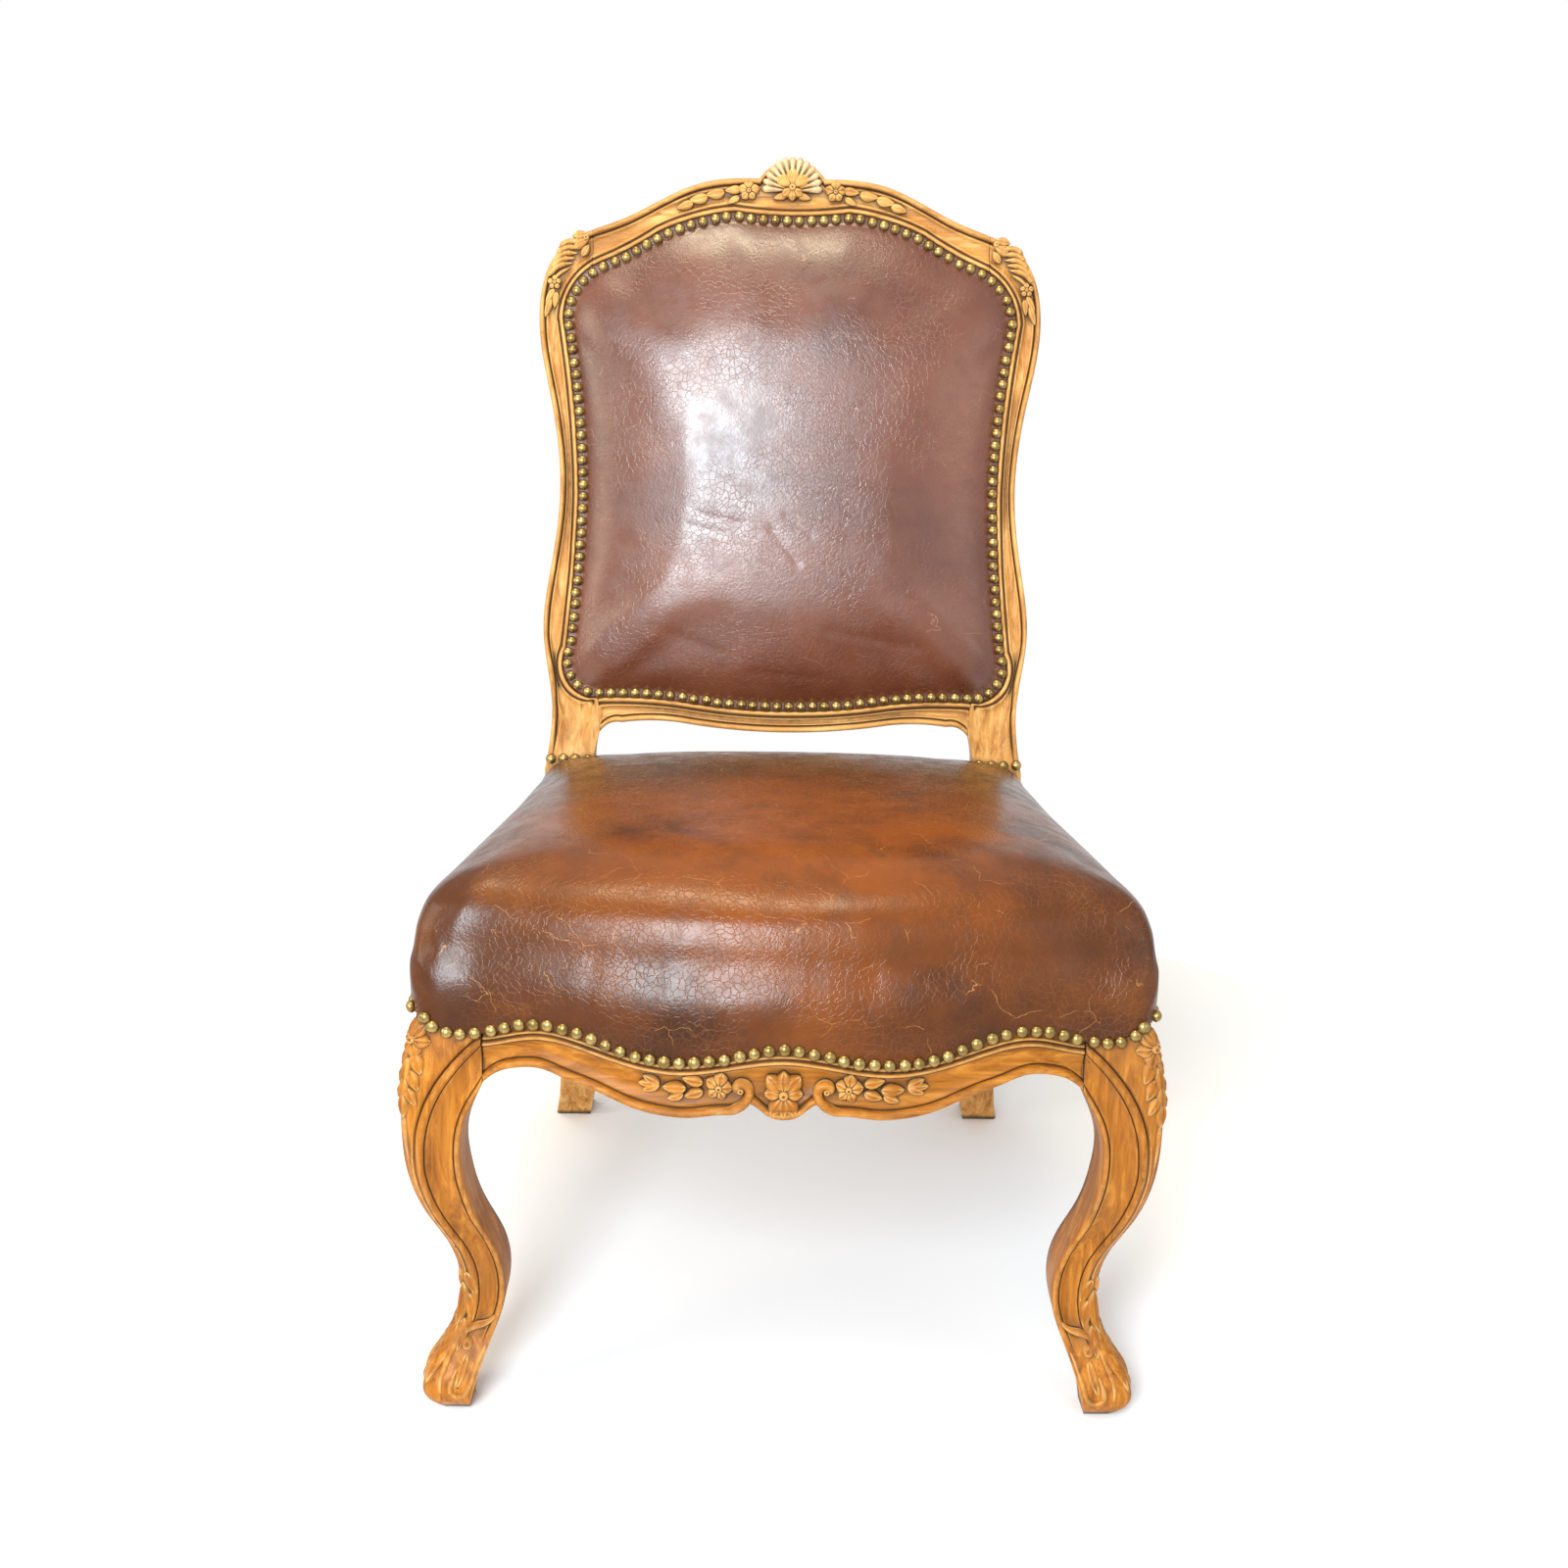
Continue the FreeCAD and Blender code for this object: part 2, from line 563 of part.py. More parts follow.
def front_rail():
    """Front rail, bowed and leaning, with its waved lower edge and a carved drop in the middle."""
    end = n.front_joint_half
    bottom = n.rail_top - n.apron_tip_drop - SPARE
    sections = []
    for z in (n.rail_top, bottom):
        front = [Vector(x, front_face_y(x, z), z) for x in (-end, 0, end)]
        back = [Vector(x, front_face_y(x, n.rail_top) + n.rail_thickness, z) for x in (end, 0, -end)]
        edges = arcs(front) + lines([front[2], back[0]]) + arcs(back) + lines([back[2], front[0]])
        sections.append(Part.Wire(edges))
    rail = Part.makeLoft(sections, True, True)
    places = [(end, n.apron_end_drop)]
    places += [(getattr(n, f"apron_{name}_half"), getattr(n, f"apron_{name}_drop"))
               for name in ("arch", "slope", "mid", "notch")]
    edge = [Vector(x, 0, n.rail_top - drop) for x, drop in places]
    right = curve(edge)
    notch = edge[-1]
    tip = Vector(0, 0, n.rail_top - n.apron_tip_drop)
    drop = Part.Arc(notch, tip, Vector(-notch.x, 0, notch.z)).toShape()
    wide, low = end + SPARE, bottom - SPARE
    under = lines([edge[0], Vector(wide, 0, APRON_END), Vector(wide, 0, low), Vector(-wide, 0, low),
                   Vector(-wide, 0, APRON_END), Vector(-end, 0, APRON_END)])
    rail = rail.cut(front_view([right, mirrored(right), drop] + under))
    ends = front_tenon(0)
    return rail.fuse([ends, mirrored(ends)]).removeSplitter()


TENON_HIGH = n.rail_top - n.tenon_drop
TENON_LOW = TENON_HIGH - n.tenon_height


def front_tenon(gap):
    """Right-hand tenon of the front rail, with room round it for the mortise."""
    middle = front_face_y(n.front_joint_half, n.rail_top) + n.rail_thickness / 2
    half = n.tenon_thickness / 2 + gap
    return block((n.front_joint_half - n.tenon_root, middle - half, TENON_LOW - gap),
                 (n.front_joint_half + n.tenon_length + gap, middle + half, TENON_HIGH + gap))


LEG_BACK = -n.leg_back
SIDE_REAR = n.post_half - n.side_rail_set
SIDE_FRONT_X = n.front_joint_half + n.side_rail_out - n.rail_thickness / 2
SIDE_REAR_X = SIDE_REAR - n.rail_thickness / 2


def side_mortises():
    """Mortises for the right-hand side rail, in the front leg and in the rear leg."""
    half = n.tenon_thickness / 2 + n.joint_gap
    reach = n.tenon_length + n.joint_gap
    low, high = TENON_LOW - n.joint_gap, TENON_HIGH + n.joint_gap
    root = n.tenon_root
    front = block((SIDE_FRONT_X - half, LEG_BACK - reach, low), (SIDE_FRONT_X + half, LEG_BACK + root, high))
    rear = block((SIDE_REAR_X - half, BLOCK_FRONT - root, low),
                 (SIDE_REAR_X + half, BLOCK_FRONT + reach, high))
    return front, rear


def leg_section(height, outer, width, rounding):
    """Square section on the leg's diagonal, with its outer corner rounded most."""
    inner = outer - width
    soft = rounding * INNER_ROUND
    front, back = LEG_SET - outer, LEG_SET - inner
    spans = []
    corners = ((inner, front, soft), (outer, front, rounding), (outer, back, soft), (inner, back, soft))
    turns = ((1, 1), (-1, 1), (-1, -1), (1, -1))
    for k, ((x, y, r), (tx, ty)) in enumerate(zip(corners, turns)):
        along = Vector(x + tx * r, y, height)
        up = Vector(x, y + ty * r, height)
        bulge = r * (1 - math.sqrt(0.5))
        middle = Vector(x + tx * bulge, y + ty * bulge, height)
        spans.append((up, middle, along) if k % 2 == 0 else (along, middle, up))
    edges = []
    for k, (start, middle, end) in enumerate(spans):
        edges.append(Part.Arc(start, middle, end).toShape())
        edges.append(Part.makeLine(end, spans[(k + 1) % 4][0]))
    return Part.Wire(edges)


def front_leg():
    sections = []
    for name, start, *_ in FRONT_LEG:
        place = getattr(n, f"leg_{name}_place", 0.0)
        height = n.rail_top - place if start == "top" else place
        outer = n.front_joint_half + getattr(n, f"leg_{name}_out")
        sections.append(leg_section(height, outer, getattr(n, f"leg_{name}_width"),
                                    getattr(n, f"leg_{name}_round")))
    leg = Part.makeLoft(sections, True, False)
    # The joint with the front rail and with the side rail is cut flat.
    joint = n.front_joint_half
    low = APRON_END - n.joint_flat
    leg = leg.cut(block((0, -FAR, low), (joint, FAR, FAR)))
    leg = leg.cut(block((0, LEG_BACK, low), (FAR, FAR, FAR)))
    front, _ = side_mortises()
    return leg.cut([front_tenon(n.joint_gap), front])


def side_rail(name, side):
    """Side rail, straight in plan and with square tenons in the two legs."""
    body = doc.addObject("PartDesign::Body", f"{name}_blank")
    front_y = -d.leg_back
    rear_y = d.back_face - d.block_step
    thick = d.rail_thickness
    tenon = d.tenon_thickness / 2
    root = d.tenon_root
    front_x = d.front_joint_half + d.side_rail_out
    rear_x = d.post_half - d.side_rail_set
    top = d.rail_top
    plan = [(front_x - thick, front_y), (front_x, front_y), (rear_x, rear_y), (rear_x - thick, rear_y)]
    high = top - d.tenon_drop
    low = high - d.tenon_height
    fx = front_x - thick / 2
    rx = rear_x - thick / 2
    front_tongue = [(fx - tenon, front_y - d.tenon_length), (fx + tenon, front_y - d.tenon_length),
                    (fx + tenon, front_y + root), (fx - tenon, front_y + root)]
    rear_tongue = [(rx - tenon, rear_y - root), (rx + tenon, rear_y - root),
                   (rx + tenon, rear_y + d.tenon_length), (rx - tenon, rear_y + d.tenon_length)]
    slabs = (("board", top - d.side_rail_height, top, plan), ("front_tenon", low, high, front_tongue),
             ("rear_tenon", low, high, rear_tongue))
    for part, bottom, ceiling, outline in slabs:
        turned = [(x if side > 0 else -x, y) for x, y in outline]
        pad(body, f"{name}_{part}", bottom, ceiling, turned)
    return bored(name, body, [on_side(places[-1], side) for places in peg_places()])


def rear_rail():
    body = doc.addObject("PartDesign::Body", "rear_rail_blank")
    back = d.back_face - d.block_step + d.rear_block_depth - d.rear_rail_inset
    front = back - d.rail_thickness
    middle = back - d.rail_thickness / 2
    half = d.post_half - d.post_width
    reach = half + d.rear_tenon_length
    tenon = d.tenon_thickness / 2
    top = d.rail_top
    pad(body, "rear_rail_board", top - d.rear_rail_height, top,
        [(-half, front), (half, front), (half, back), (-half, back)])
    pad(body, "rear_rail_tenons", top - d.tenon_drop - d.tenon_height, top - d.tenon_drop,
        [(-reach, middle - tenon), (reach, middle - tenon),
         (reach, middle + tenon), (-reach, middle + tenon)])
    _, (low, high, _) = peg_places()
    return bored("rear_rail", body, [on_side(place, side) for place in (low, high) for side in (-1, 1)])


def rear_rail_mortise():
    middle = BLOCK_BACK - n.rear_rail_inset - n.rail_thickness / 2
    half = n.tenon_thickness / 2 + n.joint_gap
    return block((POST_INNER - n.tenon_root, middle - half, TENON_LOW - n.joint_gap),
                 (POST_INNER + n.rear_tenon_length + n.joint_gap, middle + half, TENON_HIGH + n.joint_gap))


def corner_block(name, side, points):
    """Block glued into a corner of the seat frame, notched round the leg."""
    body = doc.addObject("PartDesign::Body", name)
    top = d.rail_top - d.block_drop
    outline = [(x if side > 0 else -x, y) for x, y in points]
    pad(body, name + "_wedge", top - d.block_height, top, outline)
    return body


def corner_blocks():
    joint, thick, leg = d.front_joint_half, d.rail_thickness, d.block_leg
    leg_back = -d.leg_back
    block_front = d.back_face - d.block_step
    inner_front = joint + d.side_rail_out - thick
    inner_rear = d.post_half - d.side_rail_set - thick
    inner_post = d.post_half - d.post_width
    slope = (inner_front - inner_rear) / (block_front - leg_back)
    radius = (joint * joint + d.front_bow * d.front_bow) / (d.front_bow * 2)
    reach = joint - leg
    bow = (radius * radius - reach * reach).root() - (radius - d.front_bow)
    rail_back = thick - d.front_joint_face
    front = [(joint, rail_back), (reach, rail_back - bow), (inner_front - slope * leg, leg_back + leg),
             (inner_front, leg_back), (joint, leg_back)]
    rear_face = block_front + d.rear_block_depth - d.rear_rail_inset - thick
    rear = [(inner_post, block_front), (inner_rear, block_front),
            (inner_rear + slope * leg, block_front - leg), (inner_post - leg, rear_face),
            (inner_post, rear_face)]
    made = []
    for place, points in (("front", front), ("rear", rear)):
        for hand, side in (("left", -1), ("right", 1)):
            made.append(corner_block(f"corner_block_{place}_{hand}", side, points))
    return made


# Pegs: start point, direction and length, for the right-hand side.

def on_side(place, side):
    """A peg's place on the right-hand side, or its mirror image on the left."""
    (x, y, z), direction, length = place
    return (x if side > 0 else -x, y, z), Vector(direction.x * side, direction.y, direction.z), length


def peg_places():
    """Two pegs through the front or rear rail's tenon and one through the side rail's."""
    leg_back = -d.leg_back
    block_front = d.back_face - d.block_step
    block_back = block_front + d.rear_block_depth
    inner_post = d.post_half - d.post_width
    middle = d.rail_top - d.tenon_drop - d.tenon_height / 2
    pair = (middle - d.peg_spread, middle + d.peg_spread)
    to_front, to_right = Vector(0, -1, 0), Vector(1, 0, 0)
    front_x = d.front_joint_half + d.tenon_length / 2
    front = [((front_x, leg_back, z), to_front, d.front_joint_face + leg_back - d.peg_stop) for z in pair]
    front.append(((d.front_joint_half, leg_back - d.tenon_length / 2, middle), to_right,
                  d.side_rail_out - d.peg_stop))
    rear_x = inner_post + d.rear_tenon_length / 2
    rear = [((rear_x, block_back, z), to_front, d.rear_block_depth - d.peg_stop) for z in pair]
    rear.append(((inner_post, block_front + d.tenon_length / 2, middle), to_right,
                 d.post_width - d.side_rail_set - d.peg_stop))
    return front, rear


def back_pegs():
    """Pegs of the back's joints, driven in from behind."""
    places = []
    for half, low in ((CREST_JOINT, CREST_TENON), (SILL_JOINT, SILL_TENON)):
        x = half + n.back_tenon_length / 2
        z = low + n.back_tenon_height / 2
        drop = n.back_thickness * math.sin(LEAN)
        places.append(Vector(x, back_y(z - drop, n.back_thickness), z - drop))
    return places


def drilled(shape, places, side=1):
    """A piece with the holes of its pegs."""
    holes = []
    for start, direction, length in (on_side(place, side) for place in places):
        holes.append(rod(Vector(*(float(v) for v in start)), direction, float(length) + n.joint_gap,
                         n.peg_radius + n.joint_gap))
    return shape.cut(holes)


# The seat's upholstery.

SEAT_EDGE = n.rail_top + n.seat_edge_rise
SEAT_CROWN = n.rail_top + n.seat_crown_rise
SKIRT_SPARE = 3  # leather's blank below the lowest nails, in leather edges
SKIRT_LOW = n.rail_top - n.wave_dip_drop - SKIRT_SPARE * n.nail_edge
SKIRT_STEPS = 5
CROWN_STEPS = (0.03, 0.12, 0.25, 0.4, 0.55, 0.7, 0.85, 1.0)
SWELL_LEVEL = 3  # how soon a crown grows level
SWELL_EDGE = 0.6  # how steep it is at its edge


def seat_outline(z, bulge, drawn_in, skin=0.0):
    """Outer line of the seat in plan: swollen all round but at the back, which stays on its
    rail, then drawn in, and thinner by a skin."""
    inset = skin + drawn_in - bulge
    joint = n.front_joint_half
    side = COLLAR_HALF + n.cover_room
    level = min(z, n.rail_top - n.wave_mid_drop)
    front = front_face_y(0, level)
    leg_front = front_face_y(joint, level) - n.cover_room
    back = BLOCK_BACK - n.rear_rail_inset
    middle_y = (front + back) / 2
    turn = n.seat_corner_round
    cut = turn * (1 - math.sqrt(0.5))
    right = [(joint, leg_front), (side - turn, leg_front), (side - cut, leg_front + cut),
             (side, leg_front + turn), (side, LEG_BACK), (SIDE_REAR + n.cover_room, back)]
    across = 1 - inset / side
    along = 1 - inset / ((back - front) / 2)
    p = [Vector(x * across, middle_y + (y - middle_y) * along, z) for x, y in right]
    p[-1].y = back + n.soft_gap + n.leather_thickness - skin - drawn_in
    tip = Vector(0, middle_y + (front - middle_y) * along, z)
    fall = math.tan(math.radians(n.seat_slope)) * (z - SKIRT_LOW) / (SEAT_CROWN - SKIRT_LOW)
    for v in p + [tip]:
        v.z -= fall * (v.y - middle_y)
    q = [Vector(-v.x, v.y, v.z) for v in p]
    edges = arcs([q[0], tip, p[0]]) + lines(p[:2]) + arcs(p[1:4])
    edges += lines(p[3:] + q[:2:-1]) + arcs(q[3:0:-1]) + lines(q[1::-1])
    return Part.Wire(edges)


def swell(share):
    """Share of a crown's full rise at a share of its reach: steep at the edge, level at the end."""
    return (1 - (1 - share) ** SWELL_LEVEL) ** SWELL_EDGE


def seat_form(skin):
    """The stuffed seat: upright skirt, swelling sides and a crown, thinner by a skin."""
    wood = n.soft_gap + n.leather_thickness
    sections = []
    for k in range(SKIRT_STEPS + 1):
        share = k / SKIRT_STEPS
        bulge = wood + (n.seat_bulge - wood) * share ** 2 * (3 - 2 * share)
        sections.append(seat_outline(SKIRT_LOW + (SEAT_EDGE - SKIRT_LOW) * share, bulge, 0, skin))
    for share in CROWN_STEPS:
        height = SEAT_EDGE + (SEAT_CROWN - SEAT_EDGE - skin) * swell(share)
        sections.append(seat_outline(height, n.seat_bulge, n.seat_crown_reach * share, skin))
    return Part.makeLoft(sections, True, False)


def post_room():
    """Space that the seat's upholstery leaves for the rear posts."""
    gap = n.soft_gap
    right = block((POST_INNER - n.slot_bend_in - gap, BLOCK_FRONT - gap, 0), (FAR, FAR, FAR))
    return [right, mirrored(right)]


def wave(lower):
    """Line of the front nails across the whole front, lowered by a distance."""
    dip, rise = (n.wave_dip_half, n.wave_dip_drop), (n.wave_rise_half, n.wave_rise_drop)
    between = ((dip[0] + rise[0]) / 2, (dip[1] + rise[1]) / 2)
    notch = (n.front_joint_half + n.wave_notch_out, n.wave_notch_drop)
    corner = (COLLAR_HALF, n.side_nail_drop)
    right = [Vector(x, 0, n.rail_top - drop - lower) for x, drop in (dip, between, rise, notch, corner)]
    left = [Vector(-p.x, 0, p.z) for p in reversed(right)]
    return curve(left + [Vector(0, 0, n.rail_top - n.wave_mid_drop - lower)] + right)


def skirt_trim():
    """What is cut away under the leather's lower edge."""
    line = wave(n.nail_edge)
    a, b = line.Vertexes[0].Point, line.Vertexes[-1].Point
    wide = FAR / 2
    end = LEG_BACK - n.wave_depth
    front = face([line] + lines([b, Vector(wide, 0, b.z), Vector(wide, 0, 0), Vector(-wide, 0, 0),
                                 Vector(-wide, 0, a.z), a]))
    front.translate(Vector(0, -wide, 0))
    front = front.extrude(Vector(0, wide + end, 0))
    rest = block((-wide, end, 0), (wide, wide, NAIL_LEVEL - n.nail_edge))
    return [front, rest]


HESSIAN_LOW = n.rail_top + 2 * n.web_thickness
HESSIAN_TOP = HESSIAN_LOW + n.hessian_thickness


def seat_hessian():
    outline = seat_outline(SKIRT_LOW, 0, n.hessian_inset)
    outline.translate(Vector(0, 0, HESSIAN_LOW - SKIRT_LOW))
    return Part.Face(outline).extrude(Vector(0, 0, n.hessian_thickness)).cut(post_room())


def seat_stuffing():
    under = block((-FAR, -FAR, 0), (FAR, FAR, HESSIAN_TOP))
    return seat_form(n.leather_thickness + n.soft_gap).cut([under] + post_room())


def seat_leather():
    hollow = seat_form(n.leather_thickness)
    return seat_form(0).cut(hollow).cut(post_room() + skirt_trim())


def seat_webbing():
    """Webbing strips from front to back, and across over them, tacked on top of the rails."""
    low, high = d.rail_top, d.rail_top + d.web_thickness
    pitch = d.web_width + d.web_gap
    block_front = d.back_face - d.block_step
    front = -d.front_joint_face - d.web_lap
    rear = block_front + d.rear_block_depth - d.rear_rail_inset - d.rail_thickness / 2
    lengthwise = []
    count = strips(2 * POST_INNER, n.web_width, n.web_gap)
    for k in range(count):
        x = pitch * (k - (count - 1) / 2)
        lengthwise.append(box(f"web_length_{k}", (x - d.web_width / 2, front, low),
                              (x + d.web_width / 2, rear, high)))
    leg_back = -d.leg_back
    front_half = d.front_joint_half + d.side_rail_out
    slope = (front_half - d.post_half + d.side_rail_set) / (block_front - leg_back)
    crosswise = []
    for k in range(strips(BLOCK_FRONT - LEG_BACK, n.web_width, n.web_gap)):
        step = d.web_width / 2 + pitch * k
        half = front_half - d.rail_thickness / 2 - slope * step
        crosswise.append(box(f"web_cross_{k}", (-half, leg_back + step - d.web_width / 2, high),
                             (half, leg_back + step + d.web_width / 2, high + d.web_thickness)))
    return group("seat_webbing_lengthwise", lengthwise), group("seat_webbing_crosswise", crosswise)


# The back's upholstery, in layers on the step of the frame.

WEB_ONE = n.rabbet_depth - n.web_thickness
WEB_TWO = WEB_ONE - n.web_thickness
BACK_HESSIAN = WEB_TWO - n.hessian_thickness
LEATHER_FACE = BACK_HESSIAN - n.leather_thickness


def back_layer(inset, shallow, deep):
    return front_view(nail_outline(inset)).common(leaning_slab(shallow, deep))


def back_webbing_upright():
    """Upright webbing of the back, cut to the step's outline."""
    layer = back_layer(n.back_layer_inset, WEB_ONE, n.rabbet_depth)
    half = n.back_web_width / 2
    made = []
    opening = spot("waist", n.nail_waist_in + n.window_margin).x
    count = strips(2 * opening, n.back_web_width, n.back_web_gap)
    for k in range(count):
        x = (n.back_web_width + n.back_web_gap) * (k - (count - 1) / 2)
        made.append(layer.common(block((x - half, -FAR / 2, 0), (x + half, FAR / 2, FAR))))
    return Part.makeCompound(made)


def back_webbing_across():
    """Webbing across the back, over the upright strips."""
    layer = back_layer(n.back_layer_inset, WEB_TWO, WEB_ONE)
    start = n.rail_top + n.sill_rise + n.nail_sill_up + n.back_web_start
    made = []
    for k in range(strips(SHELL_TOP - n.nail_crown_down - start, n.back_web_width, n.back_web_gap)):
        low = start + (n.back_web_width + n.back_web_gap) * k
        strip = block((-FAR / 2, -FAR / 2, low), (FAR / 2, FAR / 2, low + n.back_web_width))
        made.append(layer.common(strip))
    return Part.makeCompound(made)


def back_form(skin):
    """Crown of the back's stuffing, rising from just inside the nails, thinner by a skin."""
    sections = []
    for share in (0,) + CROWN_STEPS:
        inset = skin + n.back_crown_start + n.back_crown_reach * share
        depth = BACK_HESSIAN - (n.back_crown + BACK_HESSIAN - skin) * swell(share)
        sections.append(on_back(nail_outline(inset), depth))
    return Part.makeLoft(sections, True, False)


def back_leather():
    margin = back_layer(-n.nail_edge, LEATHER_FACE, BACK_HESSIAN)
    return margin.fuse(back_form(0)).cut(back_form(n.leather_thickness))


# Nails.

def nail_head():
    """Domed head with a flat underside, standing on the origin."""
    half, rise = n.nail_head / 2, n.nail_dome
    radius = (half ** 2 + rise ** 2) / (2 * rise)
    start = math.degrees(math.asin((radius - rise) / radius))
    return Part.makeSphere(radius, Vector(0, 0, rise - radius), Vector(0, 0, 1), start, 90, 360)


HEAD = nail_head()


def nails(places):
    """One head for each pair of seat point and outward direction."""
    heads = []
    for point, outward in places:
        head = HEAD.copy()
        head.Placement = Placement(point, Rotation(Vector(0, 0, 1), outward))
        heads.append(head)
    return Part.makeCompound(heads)


def spaced(wire):
    """Evenly spaced points along a closed line, a nail pitch apart or a little more."""
    count = int(wire.Length / n.nail_pitch)
    return wire.discretize(Number=count + 1)[:-1]


def seated(leather, probes):
    """Places just off the leather, nearest to points held further off, with the way out."""
    places = []
    for probe in probes:
        _, pairs, _ = leather.distToShape(Part.Vertex(probe))
        near = pairs[0][0]
        outward = (probe - near).normalize()
        places.append((near + outward * n.soft_gap, outward))
    return places


PROBE = 12.0  # how far off the leather the nails' places are probed from


def front_nails(leather):
    """Nails along the wave: a row on the rail, and a row on each leg from the joint to the corner."""
    line = wave(0)
    near = n.rail_top - n.wave_notch_drop
    joints = [line.Curve.parameter(Vector(x, 0, near)) for x in (-n.front_joint_half, n.front_joint_half)]
    probes = []
    for stretch in line.split(joints).Edges:
        count = round(stretch.Length / n.nail_pitch)
        for p in stretch.discretize(Number=2 * count + 1)[1::2]:
            face_y = front_face_y(min(abs(p.x), n.front_joint_half), p.z)
            probes.append(Vector(p.x, face_y - PROBE, p.z))
    return seated(leather, probes)


def side_nails(leather):
    """Nails along the right-hand side, from the corner to the rear post."""
    start = LEG_SET - COLLAR_HALF + n.side_nail_start
    end = BLOCK_FRONT - n.nail_head / 2 - n.nail_room
    slope = (COLLAR_HALF - SIDE_REAR) / (BLOCK_BACK - n.rear_rail_inset - LEG_BACK)
    count = int((end - start) / n.nail_pitch)
    probes = []
    for k in range(count + 1):
        y = start + (end - start) * k / count
        x = COLLAR_HALF - slope * max(y - LEG_BACK, 0) + PROBE
        probes.append(Vector(x, y, NAIL_LEVEL))
    return seated(leather, probes)


def rear_nails(leather):
    half = POST_INNER - n.nail_head / 2 - n.nail_room
    count = int(2 * half / n.nail_pitch)
    return seated(leather, [Vector(-half + 2 * half * k / count, BLOCK_BACK + PROBE, NAIL_LEVEL)
                            for k in range(count + 1)])


def post_nails():
    """Nails at the foot of the right-hand post, where the seat's leather ends."""
    z = POST_BASE + n.nail_head
    low = POST_INNER + n.nail_head / 2 + n.nail_room
    high = n.post_half - n.nail_head / 2 - n.nail_room
    count = int((high - low) / n.nail_pitch)
    return [(Vector(low + (high - low) * k / count, back_y(z), z), BACK_NORMAL) for k in range(count + 1)]


def back_nails():
    """Nails round the back: in front on the leather's margin, and behind on the outside leather."""
    front = spaced(on_back(nail_outline(0), LEATHER_FACE))
    behind = spaced(on_back(nail_outline(-n.rabbet_margin), n.back_thickness + n.leather_thickness))
    return [(p, BACK_NORMAL) for p in front], [(p, BACK_NORMAL * -1) for p in behind]


def frame_pieces():
    """Legs and rails with their mortises, tenons and peg holes."""
    front_pegs, rear_pegs = peg_places()
    crest_peg, sill_peg = [(p, BACK_NORMAL, n.back_peg_length) for p in back_pegs()]
    crest, sill, rear_leg = back_frame()
    _, rear_mortise = side_mortises()
    rear_leg = rear_leg.cut([rear_mortise, rear_rail_mortise()])
    rear_leg = drilled(rear_leg, rear_pegs + [crest_peg, sill_peg])
    leg = drilled(front_leg(), front_pegs)
    rail = front_rail()
    rail = drilled(drilled(rail, front_pegs[:2]), front_pegs[:2], -1)
    return [
        shaped("crest_rail", drilled(drilled(crest, [crest_peg]), [crest_peg], -1)),
        shaped("back_lower_rail", drilled(drilled(sill, [sill_peg]), [sill_peg], -1)),
        shaped("rear_leg_right", rear_leg), shaped("rear_leg_left", mirrored(rear_leg)),
        shaped("front_leg_right", leg), shaped("front_leg_left", mirrored(leg)),
        shaped("front_rail", rail)]


def peg_groups():
    made = []
    for name, places in zip(("front_joint_pegs", "rear_joint_pegs"), peg_places()):
        sides = [on_side(place, side) for side in (-1, 1) for place in places]
        made.append(group(name, [peg(f"{name}_{k}", place) for k, place in enumerate(sides)]))
    rods = [rod(p, BACK_NORMAL, n.back_peg_length, n.peg_radius) for p in back_pegs()]
    made.append(shaped("back_joint_pegs", Part.makeCompound(rods + [mirrored(r) for r in rods])))
    return made


def seat_upholstery():
    leather = seat_leather()
    right = nails(side_nails(leather))
    posts = nails(post_nails())
    return [
        *seat_webbing(), shaped("seat_hessian", seat_hessian()), shaped("seat_stuffing", seat_stuffing()),
        shaped("seat_leather", leather), shaped("seat_nails_front", nails(front_nails(leather))),
        shaped("seat_nails_right", right), shaped("seat_nails_left", mirrored(right)),
        shaped("seat_nails_rear", nails(rear_nails(leather))),
        shaped("seat_nails_posts", Part.makeCompound([posts, mirrored(posts)]))]


def back_upholstery():
    front, behind = back_nails()
    outside = back_layer(-n.rabbet_margin - n.nail_edge, n.back_thickness,
                         n.back_thickness + n.leather_thickness)
    return [
        shaped("back_webbing_upright", back_webbing_upright()),
        shaped("back_webbing_across", back_webbing_across()),
        shaped("back_hessian", back_layer(n.back_layer_inset, BACK_HESSIAN, WEB_TWO)),
        shaped("back_stuffing", back_form(n.leather_thickness + n.soft_gap)),
        shaped("back_leather_front", back_leather()), shaped("back_leather_outside", outside),
        shaped("back_nails_front", nails(front)), shaped("back_nails_outside", nails(behind))]


def build():
    """Makes every piece and returns the nodes that are written."""
    nodes = frame_pieces()
    nodes += [side_rail("side_rail_left", -1), side_rail("side_rail_right", 1), rear_rail()]
    nodes += corner_blocks() + peg_groups() + seat_upholstery() + back_upholstery()
    doc.recompute()
    return nodes


def write(nodes):
    """Checks every object and piece, then writes one file for each piece."""
    for item in doc.Objects:
        if {"Invalid", "Error"} & set(item.State):
            raise RuntimeError(f"{item.Label} failed: {item.State}")
    for node in nodes:
        if node.Shape.isNull() or not node.Shape.isValid() or not node.Shape.Solids:
            raise RuntimeError(f"{node.Label} has no valid shape")
    os.makedirs("parts", exist_ok=True)
    for node in nodes:
        node.Shape.exportStep(os.path.join("parts", node.Label + ".step"))
        print(node.Label, len(node.Shape.Solids), "solids", round(node.Shape.Volume / 1000), "cm3")


if __name__ == "__main__":
    write(build())
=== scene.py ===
import math
import bmesh
import bpy
import numpy as np
from mathutils import Matrix, Vector

